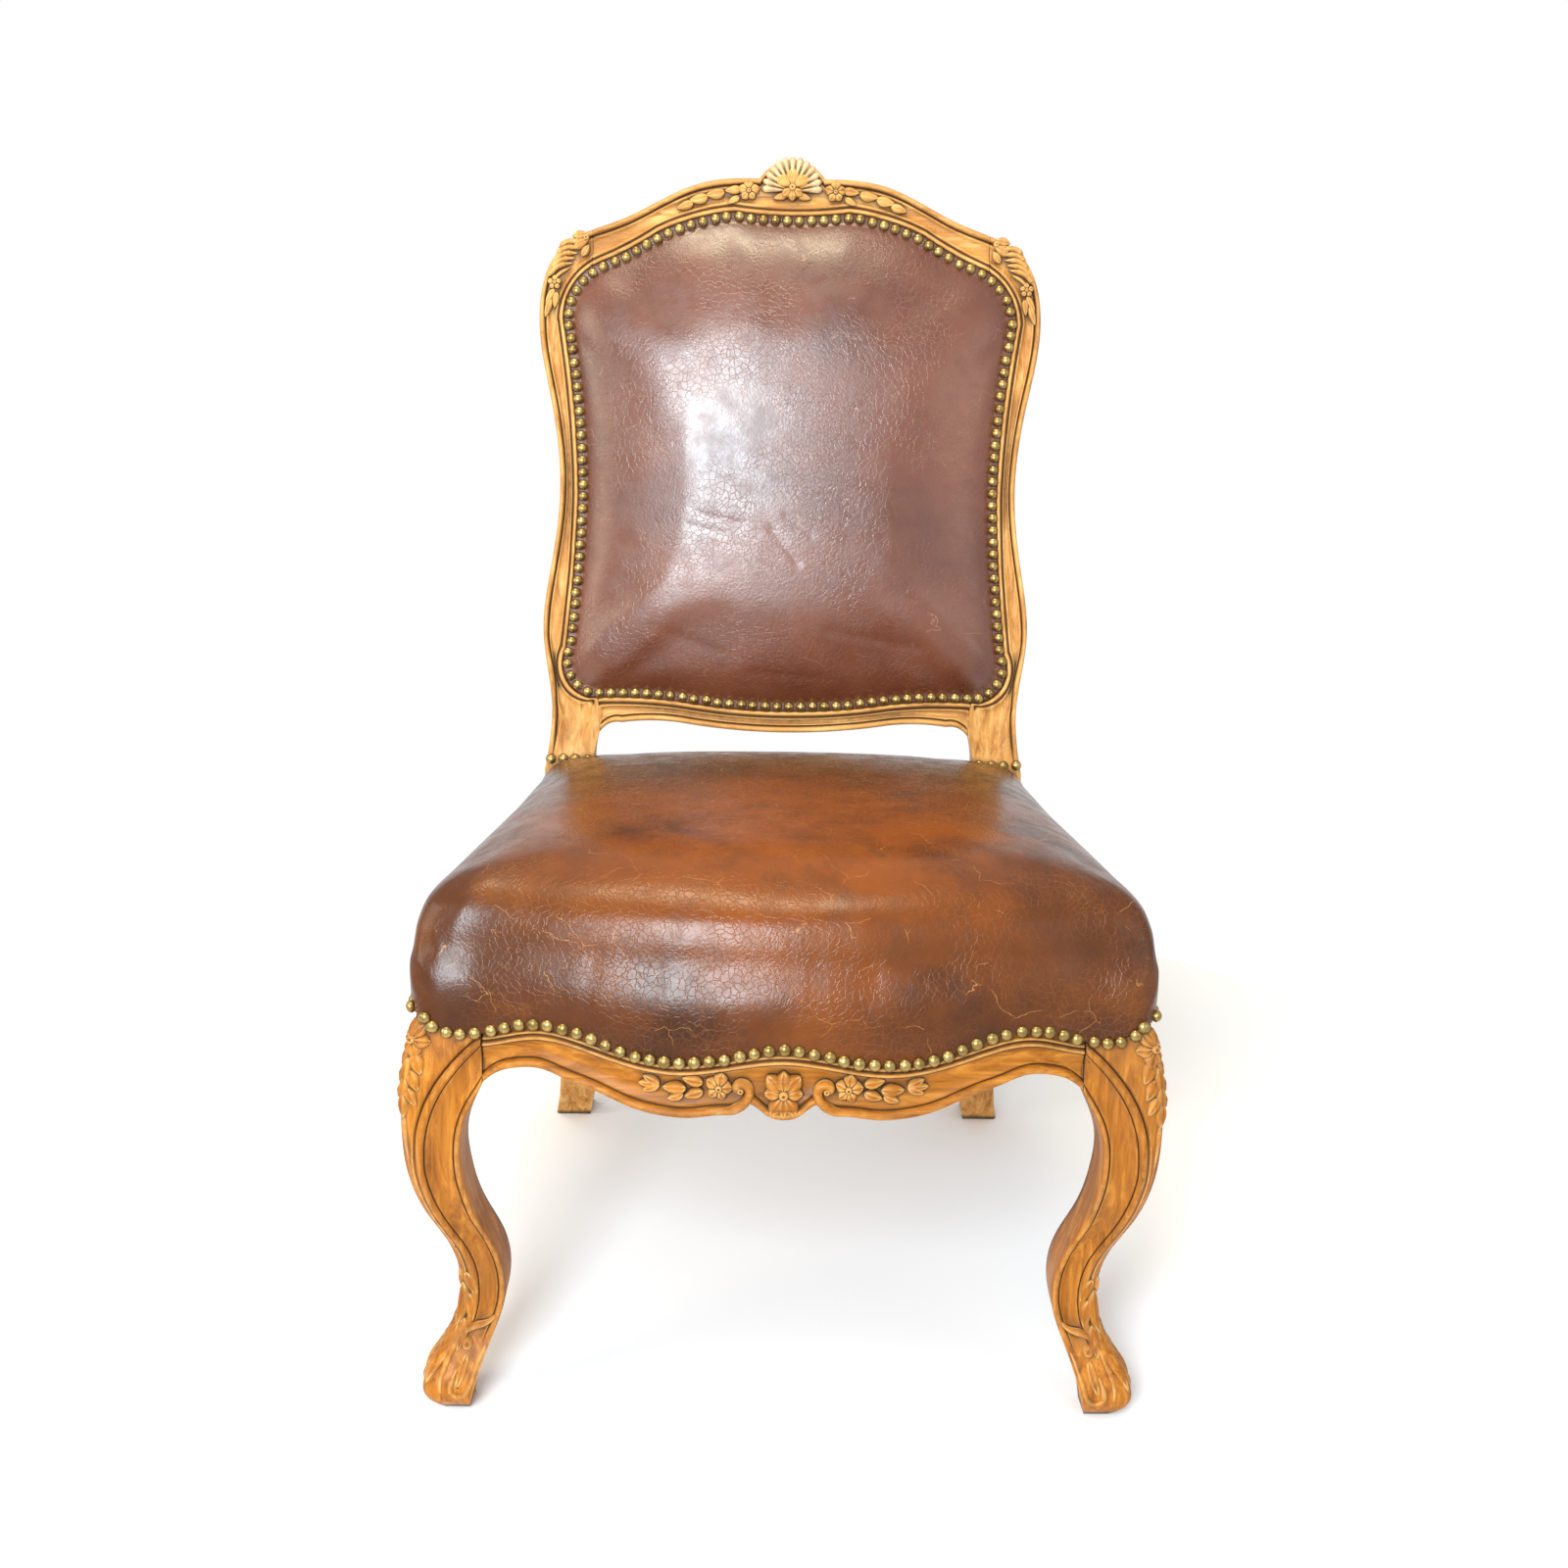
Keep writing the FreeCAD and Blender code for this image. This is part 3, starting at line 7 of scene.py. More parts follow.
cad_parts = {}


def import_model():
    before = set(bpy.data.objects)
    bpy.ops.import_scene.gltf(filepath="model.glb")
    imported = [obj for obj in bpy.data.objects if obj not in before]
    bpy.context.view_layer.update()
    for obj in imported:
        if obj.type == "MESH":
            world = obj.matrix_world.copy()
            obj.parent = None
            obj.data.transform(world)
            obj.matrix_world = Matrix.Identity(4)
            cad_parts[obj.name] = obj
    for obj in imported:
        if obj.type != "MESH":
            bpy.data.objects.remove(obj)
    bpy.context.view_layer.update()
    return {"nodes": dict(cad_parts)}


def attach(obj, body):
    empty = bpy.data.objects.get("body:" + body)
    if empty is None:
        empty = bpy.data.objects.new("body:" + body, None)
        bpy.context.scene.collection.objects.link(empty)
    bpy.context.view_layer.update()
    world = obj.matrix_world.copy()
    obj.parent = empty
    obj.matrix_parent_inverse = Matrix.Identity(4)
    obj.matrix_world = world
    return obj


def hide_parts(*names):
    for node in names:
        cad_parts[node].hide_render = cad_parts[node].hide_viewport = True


# Looks of a carved side chair with a leather seat and back. Lengths are written in millimetres
# and turned into metres when a mesh is made. +Z is up, +Y is to the back of the chair.

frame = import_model()
MM = 0.001
RNG = np.random.default_rng(15)

# Sizes that the frame of the chair was made with.
RAIL_TOP = 365
JOINT = 217
LEG_SET = 6
POST_HALF = 218
POST_INNER = 173
POST_TURN = 372
POST_BASE = 388
BACK_FACE = 168
LEAN = math.radians(10.8)
THICK = 29
PROUD = 0.4
SHELL_TOP = 924
NAIL_CROWN = 872
NAIL_SILL = 447
NAIL_EDGE = 4.6
WOOD_EDGE = 4.2
NORMAL = np.array((0, -math.cos(LEAN), math.sin(LEAN)))

BACK_EDGE = {
    "base": (218, 388), "neck": (211.5, 444), "hip": (219.5, 512), "lower_waist": (211.5, 577),
    "waist": (205, 640), "upper_waist": (213.5, 716), "ear": (224, 793), "ear_top": (204, 847),
    "shoulder": (177, 862), "hollow": (147, 873), "flank": (117, 888), "slope": (88, 901),
    "brow": (60, 907), "shell": (29, 908), "slot_foot": (173, 398), "slot_bend": (171, 412),
    "slot_corner": (168, 422), "slot_turn": (161, 429), "slot_end": (148, 431),
    "slot_side": (126, 433), "slot_rise": (94, 431.5), "sill": (0, 424),
}
# The back's nails, each by how far it lies inwards and down from a point of the wood's edge.
NAIL_LINE = (
    ("brow", 10, 31.5), ("slope", 2, 32.5), ("flank", 0.5, 31), ("hollow", 5, 31),
    ("shoulder", 11, 31), ("ear_top", 13.5, 36), ("ear", 25.5, 11), ("upper_waist", 25, 7.5),
    ("waist", 20.5, 8), ("lower_waist", 23, 13), ("hip", 24.5, 13), ("neck", 21.5, -21.5),
    ("slot_corner", -5, -34.5), ("slot_end", 10, -26.5), ("slot_rise", 0.5, -23),
)
# Points of the panel's edge where the crest and the sill meet the stiles.
CREST_JOINT = (177, 829)
SILL_JOINT = (168, 451)
# Faces of the rear legs at the foot, the calf and the top.
CALF = 150
LEG_TOP = 281
LEG_FRONT = (256, 190, 164)
LEG_REAR = (290, 222, 200 - PROUD)
LEG_OUTSIDE = (222, 214, POST_HALF)
LEG_INSIDE = (188, 178, POST_INNER)
# Front rail: its bow and face in plan, how far it flares over a fall, and its thickness.
BOW = 31
RAIL_FACE = -255
FLARE = 12
FLARE_FALL = 85
RAIL_THICK = 27
APRON = ((217, 279), (206, 288), (190, 293.5), (174, 294.5), (156, 289), (139, 284), (107, 272),
         (83, 267.7), (66, 267.5), (43, 270.5), (31, 273), (24, 279), (18, 276), (9, 269.5), (0, 268))
WAVE = ((-265, 330), (-226, 318), (-180, 328), (-128, 319.5), (-76, 311), (0, 321),
        (76, 311), (128, 319.5), (180, 328), (226, 318), (265, 330))
# Front legs from the top down: height, outer face, width, rounding of the outer corner.
FRONT_LEG = (
    (365, 263.5, 46.5, 12), (330, 265, 48, 12), (300, 272, 55, 12), (272, 277, 59, 13),
    (238, 277.4, 45.5, 12), (205, 274.4, 41.2, 11), (163, 263, 38.4, 10), (129, 249, 36.3, 10),
    (97, 242.8, 34.5, 9), (66, 247.5, 33, 9), (44, 259.5, 35.5, 9), (24, 270.5, 40, 10),
    (11, 268, 34.5, 9), (0, 258, 23, 6),
)
# Inner edge of the front leg's front face, from its joint with the rail down to the floor.
LEG_INNER = ((217, 279), (219.6, 273.5), (228, 257), (233, 240), (234.5, 220), (233.6, 203), (230.4, 184),
             (226, 165), (219.5, 147), (213.8, 129), (210, 112), (208.6, 95), (210.4, 79), (215.6, 64),
             (223, 46.5), (230, 26), (234, 11), (236, 0))
# Heights on that edge, each with the point of the head or the arris that it faces.
LEG_FAR = ((279, 217, 330), (273.5, 228, 331), (265, 246, 330.5), (257, 262, 322), (248, 272, 300),
           (240, 277, 278), (225, 277.6, 245), (203, 274.2, 208), (165, 263.6, 168), (129, 249, 131),
           (95, 243, 97), (64, 248.4, 67), (46.5, 258.5, 48), (26, 269.5, 28), (11, 268, 12), (0, 258, 0))


# Curves.

def natural(knots, values, where):
    """Natural cubic curve through values at knots, read at other places."""
    knots = np.asarray(knots, float)
    values = np.asarray(values, float)
    single = np.ndim(where) == 0
    where = np.atleast_1d(np.asarray(where, float))
    count = len(knots)
    step = np.diff(knots)
    system = np.eye(count)
    right = np.zeros_like(values)
    for i in range(1, count - 1):
        system[i, i - 1:i + 2] = step[i - 1], 2 * (step[i - 1] + step[i]), step[i]
        right[i] = 6 * ((values[i + 1] - values[i]) / step[i] - (values[i] - values[i - 1]) / step[i - 1])
    bend = np.linalg.solve(system, right)
    k = np.clip(np.searchsorted(knots, where) - 1, 0, count - 2)
    wide = (slice(None),) + (None,) * (values.ndim - 1)
    h = step[k][wide]
    a = (knots[k + 1] - where)[wide] / h
    b = 1 - a
    curve = a * values[k] + b * values[k + 1]
    curve = curve + ((a ** 3 - a) * bend[k] + (b ** 3 - b) * bend[k + 1]) * h ** 2 / 6
    return curve[0] if single else curve


def lengths(points):
    """Distance along a line at each of its points."""
    return np.concatenate([[0], np.cumsum(np.linalg.norm(np.diff(points, axis=0), axis=1))])


def evenly(points, count):
    """Points spread evenly along a line."""
    points = np.asarray(points, float)
    run = lengths(points)
    where = np.linspace(0, run[-1], count)
    return np.stack([np.interp(where, run, points[:, k]) for k in range(points.shape[1])], 1)


def smooth_line(points, fine=24):
    """Dense points on a smooth curve through a few points."""
    points = np.asarray(points, float)
    run = lengths(points)
    return natural(run, points, np.linspace(0, run[-1], fine * (len(points) - 1) + 1))


def arc(a, b, c, count=24):
    """Points on the circle through three points of a plane, or on a line if they are in line."""
    (ax, ay), (bx, by), (cx, cy) = a, b, c
    d = 2 * (ax * (by - cy) + bx * (cy - ay) + cx * (ay - by))
    if abs(d) < 1e-6:
        return np.linspace(a, c, count)
    aa, bb, cc = ax * ax + ay * ay, bx * bx + by * by, cx * cx + cy * cy
    ux = (aa * (by - cy) + bb * (cy - ay) + cc * (ay - by)) / d
    uy = (aa * (cx - bx) + bb * (ax - cx) + cc * (bx - ax)) / d
    radius = math.hypot(ax - ux, ay - uy)
    turns = [math.atan2(y - uy, x - ux) for x, y in (a, b, c)]
    middle = (turns[1] - turns[0]) % (2 * math.pi)
    sweep = (turns[2] - turns[0]) % (2 * math.pi)
    if middle > sweep:
        sweep -= 2 * math.pi
    t = turns[0] + sweep * np.linspace(0, 1, count)
    return np.stack([ux + radius * np.cos(t), uy + radius * np.sin(t)], 1)


def half_arc(end, middle):
    """Half of an arc over the middle of the chair, from its end to its middle."""
    return arc(end, middle, end * (-1, 1), 41)[:21]


def arch(middle, end):
    """The same from the middle to the end."""
    return arc(end * (-1, 1), middle, end, 41)[20:]


def arc_chain(points):
    """Arcs through end, middle, end and so on, as one line."""
    runs = [arc(*points[i:i + 3])[:-1] for i in range(0, len(points) - 2, 2)]
    return np.concatenate(runs + [np.array([points[-1]], float)])


def mirrored(half):
    """A line that ends in the middle of the chair, with its mirror image after it."""
    return np.concatenate([half, half[-2::-1] * (-1, 1)])


def ease(x, low, high):
    """Smooth step from 0 at low to 1 at high."""
    t = np.clip((np.asarray(x, float) - low) / (high - low), 0, 1)
    return t * t * (3 - 2 * t)


def nearest(line, point):
    """Index of the point of a line that is nearest to a place."""
    return int(np.argmin(((line - point) ** 2).sum(1)))


# Meshes.

class Shell:
    """Vertices and faces of one piece, in millimetres."""

    def __init__(self):
        self.verts = []
        self.faces = []
        self.count = 0

    def add(self, points, faces):
        self.verts.append(np.asarray(points, float).reshape(-1, 3))
        self.faces.extend([tuple(i + self.count for i in f) for f in faces])
        self.count += len(self.verts[-1])

    def grid(self, points, wrap=False, flip=False):
        """A patch of rows and columns of points, whose columns may close into a ring."""
        rows, columns = points.shape[:2]
        faces = []
        for a in range(0, (rows - 1) * columns, columns):
            b = a + columns
            for j in range(columns - (not wrap)):
                k = (j + 1) % columns
                quad = (a + j, a + k, b + k, b + j)
                faces.append(quad[::-1] if flip else quad)
        self.add(points, faces)

    def cap(self, ring, flip=False):
        """A fan that closes a ring of points."""
        count = len(ring)
        faces = [(i, (i + 1) % count, count) for i in range(count)]
        self.add(np.concatenate([ring, ring.mean(0)[None]]), [f[::-1] if flip else f for f in faces])

    def bar(self, rings, flip=False):
        """A closed bar along a row of rings."""
        self.grid(rings, wrap=True, flip=flip)
        self.cap(rings[0], flip=not flip)
        self.cap(rings[-1], flip=flip)
        return self

    def fill(self, ring, shape=None, flip=False):
        """Closes a ring with a grid of four sides, whose points a function may then shape."""
        sides = len(ring) // 4
        ring = np.roll(ring, len(ring) // 8, axis=0)
        a, b, c, d = (np.take(ring, np.arange(k * sides, (k + 1) * sides + 1), axis=0, mode="wrap")
                      for k in range(4))
        c, d = c[::-1], d[::-1]
        u = np.linspace(0, 1, sides + 1)[None, :, None]
        v = np.linspace(0, 1, sides + 1)[:, None, None]
        grid = (1 - v) * a[None] + v * c[None] + (1 - u) * d[:, None] + u * b[:, None]
        grid = grid - (1 - u) * (1 - v) * a[0] - u * (1 - v) * a[-1] - (1 - u) * v * c[0] - u * v * c[-1]
        self.grid(shape(grid) if shape else grid, flip=flip)

    def turned(self):
        """The same shape on the other side of the chair, as a new one."""
        other = Shell()
        other.add(np.concatenate(self.verts) * (-1, 1, 1), [f[::-1] for f in self.faces])
        return other


def points_of(mesh, what="co"):
    """Places of a mesh's points in metres, or their normals."""
    values = np.empty(len(mesh.vertices) * 3, np.float32)
    mesh.vertices.foreach_get(what, values)
    return values.reshape(-1, 3).astype(float)


def set_points(mesh, points):
    """Moves a mesh's points to places in metres."""
    mesh.vertices.foreach_set("co", points.astype(np.float32).ravel())
    mesh.update()


def ends_of(mesh):
    """First and second points of a mesh's edges."""
    ends = np.empty(len(mesh.edges) * 2, np.int32)
    mesh.edges.foreach_get("vertices", ends)
    return ends.reshape(-1, 2).T


def weld(mesh, reach):
    """Joins points that fall together and makes the faces point outwards."""
    work = bmesh.new()
    work.from_mesh(mesh)
    bmesh.ops.remove_doubles(work, verts=work.verts, dist=reach * MM)
    bmesh.ops.dissolve_degenerate(work, edges=work.edges, dist=reach * MM)
    bmesh.ops.recalc_face_normals(work, faces=work.faces)
    work.to_mesh(mesh)
    work.free()


def hollows(mesh, rounds=2, steepest=1.5, gain=2):
    """Writes how hollow or rounded the surface is at each point, from -1 to 1."""
    place = points_of(mesh) / MM
    out = points_of(mesh, "normal")
    a, b = ends_of(mesh)
    along = place[b] - place[a]
    square = np.maximum((along ** 2).sum(1), 0.01)
    total = np.zeros(len(place))
    np.add.at(total, a, (out[a] * along).sum(1) / square)
    np.add.at(total, b, (out[b] * -along).sum(1) / square)
    near = np.maximum(np.bincount(a, minlength=len(place)) + np.bincount(b, minlength=len(place)), 1)
    bend = np.clip(total / near, -steepest, steepest)
    for _ in range(rounds):
        total = bend.copy()
        np.add.at(total, a, bend[b])
        np.add.at(total, b, bend[a])
        bend = total / (near + 1)
    layer = mesh.attributes.new("hollow", "FLOAT", "POINT")
    layer.data.foreach_set("value", np.clip(bend * gain, -1, 1).astype(np.float32))


def piece(name, shell, material, nodes, join=0.02, wear_and_shade=True):
    """Makes an object of a shell, rides it on the chair and hides the parts it stands for."""
    mesh = bpy.data.meshes.new(name)
    mesh.from_pydata((np.concatenate(shell.verts) * MM).tolist(), [], shell.faces)
    mesh.validate()
    if join:
        weld(mesh, join)
    mesh.shade_smooth()
    mesh.update()
    if wear_and_shade:
        hollows(mesh)
    mesh.materials.append(material)
    obj = bpy.data.objects.new(name, mesh)
    bpy.context.scene.collection.objects.link(obj)
    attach(obj, "root")
    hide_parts(*nodes)
    return obj


# Materials.

class Nodes:
    """Short words for the nodes of a material or of the world."""

    def __init__(self, owner):
        owner.use_nodes = True
        self.owner = owner
        self.tree = owner.node_tree

    def link(self, value, socket):
        if isinstance(value, bpy.types.NodeSocket):
            self.tree.links.new(value, socket)
        elif socket.type == "RGBA":
            socket.default_value = (*value, 1)
        else:
            socket.default_value = value

    def add(self, kind, sockets, **settings):
        node = self.tree.nodes.new(kind)
        for key, value in settings.items():
            setattr(node, key, value)
        for key, value in sockets.items():
            self.link(value, node.inputs[key])
        return node

    def math(self, kind, a, b):
        return self.add("ShaderNodeMath", {0: a, 1: b}, operation=kind).outputs[0]


class Finish(Nodes):
    """A new material, its pattern laid by place on the chair."""

    def __init__(self, name):
        super().__init__(bpy.data.materials.new(name))
        self.place = self.add("ShaderNodeTexCoord", {}).outputs["Object"]

    def stretched(self, scale):
        return self.add("ShaderNodeMapping", {"Vector": self.place, "Scale": scale}).outputs["Vector"]

    def noise(self, scale, detail=4.0, rough=0.55, place=None, twist=0.0):
        sockets = {"Vector": place or self.place, "Scale": scale, "Detail": detail, "Roughness": rough,
                   "Distortion": twist}
        return self.add("ShaderNodeTexNoise", sockets).outputs["Fac"]

    def cells(self, scale, place, feature="F1"):
        return self.add("ShaderNodeTexVoronoi", {"Vector": place, "Scale": scale}, feature=feature).outputs

    def ramp(self, value, *stops):
        node = self.add("ShaderNodeValToRGB", {"Fac": value})
        line = node.color_ramp
        while len(line.elements) < len(stops):
            line.elements.new(0.5)
        for element, (place, colour) in zip(line.elements, stops):
            element.position = place
            element.color = (*colour, 1)
        return node.outputs["Color"]

    def span(self, value, low, high, start=0.0, end=1.0):
        sockets = {"Value": value, "From Min": low, "From Max": high, "To Min": start, "To Max": end}
        return self.add("ShaderNodeMapRange", sockets, interpolation_type="SMOOTHSTEP").outputs["Result"]

    def mix(self, share, a, b):
        return self.add("ShaderNodeMix", {"Factor": share, 6: a, 7: b}, data_type="RGBA").outputs[2]

    def share(self, value, most):
        return self.math("MULTIPLY", value, most)

    def bump(self, height, strength, distance, before=None):
        sockets = {"Height": height, "Strength": strength, "Distance": distance * MM}
        if before:
            sockets["Normal"] = before
        return self.add("ShaderNodeBump", sockets).outputs["Normal"]

    def hollow(self):
        return self.add("ShaderNodeAttribute", {}, attribute_name="hollow").outputs["Fac"]

    def finish(self, colour, rough, normal=None, **constant):
        shader = self.tree.nodes["Principled BSDF"]
        self.link(colour, shader.inputs["Base Color"])
        self.link(rough, shader.inputs["Roughness"])
        if normal:
            self.link(normal, shader.inputs["Normal"])
        for key, value in constant.items():
            shader.inputs[key.replace("_", " ")].default_value = value
        return self.owner


# Dark, middle and pale tone of the grain.
ORANGE = ((0.15, 0.044, 0.005), (0.35, 0.115, 0.010), (0.55, 0.225, 0.03))
# A paler copy of the same wood for the back frame: painted highlight, for the brighter light that falls
# there.
LIT_GOLDEN = ((0.23, 0.084, 0.017), (0.54, 0.25, 0.062), (0.74, 0.45, 0.16))
WHITENED = ((0.42, 0.25, 0.12), (0.62, 0.43, 0.24), (0.76, 0.60, 0.40))
WOOD_PATCH = (0.25, 0.095, 0.022)
WOOD_PORE = (0.16, 0.062, 0.018)
WOOD_RUBBED = (0.72, 0.44, 0.16)
# The grime and groove colours darken the hollows and grooves: dirt, and painted shade.
WOOD_GRIME_AND_SHADE = (0.085, 0.045, 0.022)
WOOD_GROOVE_DIRT_AND_SHADE = (0.045, 0.018, 0.007)
WORM_HOLE = (0.02, 0.008, 0.004)


def wood(name, grain, carved=True, tones=ORANGE):
    """Waxed honey-brown wood: grain along one axis, hollows darkened by dirt and painted shade, rubbed edges
    and worm holes.
    """
    m = Finish(name)
    along = m.stretched({"X": (5, 70, 70), "Y": (70, 5, 70), "Z": (70, 70, 5)}[grain])
    streaks = m.noise(2.2, 6, 0.62, along, 0.6)
    pores = m.noise(9.0, 3, 0.6, along)
    patches = m.noise(14, 4, 0.6)
    colour = m.ramp(streaks, *zip((0.28, 0.5, 0.72), tones))
    colour = m.mix(m.span(patches, 0.45, 0.72, 0, 0.5), colour, WOOD_PATCH)
    colour = m.mix(m.span(pores, 0.56, 0.72, 0, 0.35), colour, WOOD_PORE)
    if carved:
        wobble = m.share(m.math("SUBTRACT", m.noise(160, 3), 0.5), 0.35)
        uneven = m.math("ADD", m.hollow(), wobble)
        rubbed = m.span(uneven, -0.08, -0.5)
        # Concave places are darkened almost to black: dirt in the grooves, and painted shade.
        groove_dirt_and_shade = m.span(uneven, 0.06, 0.42)
        # Painted shade: ambient occlusion darkens the wood where it is enclosed, also standing for dirt
        # there.
        open_sky = m.add("ShaderNodeAmbientOcclusion", {"Distance": 8 * MM}, samples=6).outputs["AO"]
        grime_and_shade = m.span(open_sky, 0.86, 0.4)
        colour = m.mix(m.share(rubbed, 0.55), colour, WOOD_RUBBED)
        colour = m.mix(m.share(grime_and_shade, 0.85), colour, WOOD_GRIME_AND_SHADE)
        colour = m.mix(m.share(groove_dirt_and_shade, 0.88), colour, WOOD_GROOVE_DIRT_AND_SHADE)
    pits = m.cells(95, m.place)
    few = m.span(pits["Color"], 0.80, 0.82)
    holes = m.math("MULTIPLY", m.span(pits["Distance"], 0.075, 0.055), few)
    colour = m.mix(holes, colour, WORM_HOLE)
    normal = m.bump(m.share(pores, 0.5), 0.25, 0.25)
    normal = m.bump(m.math("SUBTRACT", 1.0, holes), 0.6, 0.8, normal)
    return m.finish(colour, m.span(patches, 0.3, 0.7, 0.34, 0.52), normal, Specular_IOR_Level=0.17)


def leather(name, body, pale, deep, scratched, gloss, shine, coat, worn=None):
    """Old polished hide: cloudy colour, fine cracks and pores, thin scratches, and perhaps a worn place."""
    m = Finish(name)
    clouds = m.noise(9, 5, 0.6)
    mottle = m.noise(55, 4, 0.65)
    colour = m.ramp(clouds, (0.3, deep), (0.55, body), (0.78, pale))
    if worn:
        centre, size, tint = worn
        near = m.add("ShaderNodeMapping", {
            "Vector": m.place, "Location": [-c / s for c, s in zip(centre, size)],
            "Scale": [1 / (s * MM) for s in size]}).outputs["Vector"]
        ball = m.add("ShaderNodeTexGradient", {"Vector": near}, gradient_type="SPHERICAL").outputs["Fac"]
        colour = m.mix(m.math("MULTIPLY", m.span(ball, 0.02, 0.75), m.span(clouds, 0.2, 0.62)), colour, tint)
    colour = m.mix(m.span(mottle, 0.5, 0.8, 0, 0.4), colour, deep)
    wander = m.add("ShaderNodeTexNoise", {"Vector": m.place, "Scale": 60, "Detail": 4}).outputs["Color"]
    shift = m.add("ShaderNodeVectorMath", {0: wander, "Scale": 12 * MM}, operation="SCALE").outputs[0]
    bent = m.add("ShaderNodeVectorMath", {0: m.place, 1: shift}, operation="ADD").outputs[0]
    cracks = m.cells(190, bent, "DISTANCE_TO_EDGE")["Distance"]
    crackle = m.math("MULTIPLY", m.span(cracks, 0.07, 0.0), m.span(m.noise(14, 3), 0.35, 0.62))
    colour = m.mix(m.share(crackle, 0.45), colour, pale)
    lines = m.cells(26, bent, "DISTANCE_TO_EDGE")["Distance"]
    scratches = m.math("MULTIPLY", m.span(lines, 0.006, 0.002), m.span(m.noise(34, 3), 0.54, 0.62))
    colour = m.mix(m.share(scratches, 0.55), colour, scratched)
    normal = m.bump(m.cells(420, bent)["Distance"], 0.16, 0.5)
    normal = m.bump(m.math("SUBTRACT", 1.0, crackle), 0.3, 0.4, normal)
    normal = m.bump(m.noise(45, 3, 0.6), 0.16, 1.6, normal)
    rough = m.span(mottle, 0.3, 0.75, gloss, gloss + 0.16)
    return m.finish(colour, rough, normal, Specular_IOR_Level=shine, Coat_Weight=coat, Coat_Roughness=0.3)


def brass():
    """Aged brass: warm and worn on the domes, patchy tarnish, and painted shade darkening the hollows round
    the rims.
    """
    m = Finish("aged_brass")
    tarnish = m.noise(260, 4, 0.65)
    colour = m.ramp(m.noise(95, 1), (0.35, (0.23, 0.145, 0.045)), (0.65, (0.40, 0.28, 0.10)))
    colour = m.mix(m.span(tarnish, 0.48, 0.75, 0, 0.75), colour, (0.085, 0.06, 0.03))
    # Painted shade: the hollows round the rims are darkened almost to black.
    colour = m.mix(m.span(m.hollow(), 0.02, 0.4), colour, (0.03, 0.02, 0.01))
    rough = m.span(tarnish, 0.3, 0.75, 0.24, 0.5)
    return m.finish(colour, rough, m.bump(m.noise(420, 3), 0.12, 0.4), Metallic=0.92, Specular_IOR_Level=0.5)


def woven(name, pale, deep, pitch):
    """Plain weave of thick yarns, by place across and along."""
    m = Finish(name)
    sockets = {"Vector": m.place, "Scale": math.pi / (10 * pitch * MM), "Distortion": 0.5}
    weave = m.math("MULTIPLY", *(m.add("ShaderNodeTexWave", sockets, bands_direction=side).outputs["Fac"]
                                 for side in "XY"))
    fibre = m.noise(700, 3)
    colour = m.mix(m.span(weave, 0.1, 0.7), deep, pale)
    colour = m.mix(m.span(fibre, 0.45, 0.8, 0, 0.5), colour, deep)
    normal = m.bump(fibre, 0.4, 0.3, m.bump(weave, 0.7, 0.6))
    return m.finish(colour, 0.9, normal, Specular_IOR_Level=0.2, Sheen_Weight=0.15)


WOOD_UP = wood("waxed_wood_upright", "Z")
WOOD_ACROSS = wood("waxed_wood_across", "X")
RUBBED = wood("rubbed_wood", "Z", tones=WHITENED)
# The back frame's wood is painted paler than the seat frame's, as painted highlight.
LIT_PALE_UP = wood("pale_wood_upright", "Z", tones=LIT_GOLDEN)
LIT_PALE_ACROSS = wood("pale_wood_across", "X", tones=LIT_GOLDEN)
WOOD_DEEP = wood("waxed_wood_side", "Y", carved=False)
PLAIN_WOOD = wood("plain_wood", "X", carved=False)
SEAT_HIDE = leather(
    "seat_hide", body=(0.075, 0.020, 0.004), pale=(0.18, 0.052, 0.006), deep=(0.030, 0.009, 0.003),
    scratched=(0.50, 0.22, 0.06), gloss=0.2, shine=0.26, coat=0.06,
    worn=((20, -140, 420), (290, 230, 400), (0.24, 0.056, 0.002)))
BACK_HIDE = leather(
    "back_hide", body=(0.120, 0.033, 0.014), pale=(0.17, 0.052, 0.024), deep=(0.068, 0.015, 0.006),
    scratched=(0.36, 0.17, 0.09), gloss=0.24, shine=0.58, coat=0.36)
BRASS = brass()
JUTE = woven("jute_webbing", (0.56, 0.44, 0.27), (0.25, 0.17, 0.09), 2.2)
HESSIAN = woven("hessian", (0.50, 0.37, 0.20), (0.19, 0.12, 0.055), 1.6)


# Mouldings, as heights across a row.

def bead(u, start, width, rise, foot):
    """Half-round bead on its foot, and 0 elsewhere."""
    t = np.clip((u - start) / width * 2 - 1, -1, 1)
    return np.where((u >= start) & (u <= start + width), foot + rise * np.sqrt(1 - t * t), 0)


def groove(u, start, width, depth, foot):
    """Round groove below its foot, and 0 elsewhere."""
    inside = (u > start) & (u < start + width)
    return np.where(inside, foot - depth * np.sin(np.pi * (u - start) / width), 0)


# The back frame, as pairs of points on its outer and inner edge.

def spots(*names):
    """Points of the wood's edge by name."""
    return [np.array(BACK_EDGE[name], float) for name in names]


def nail_line(inset):
    """Right-hand half of the back's nail line, from the top down, drawn in by an inset."""
    right = [spots(name)[0] - (inward, down) for name, inward, down in NAIL_LINE]
    middle = (NAIL_CROWN + NAIL_SILL) / 2
    across = 1 - inset / max(p[0] for p in right)
    upright = 1 - inset / ((NAIL_CROWN - NAIL_SILL) / 2)
    crown, foot, *points = (np.array((x * across, middle + (z - middle) * upright))
                            for x, z in [(0, NAIL_CROWN), (0, NAIL_SILL)] + right)
    top = arch(crown, points[0])[:-1]
    return np.concatenate([top, arc_chain(points)[:-1], half_arc(points[-1], foot)]), points


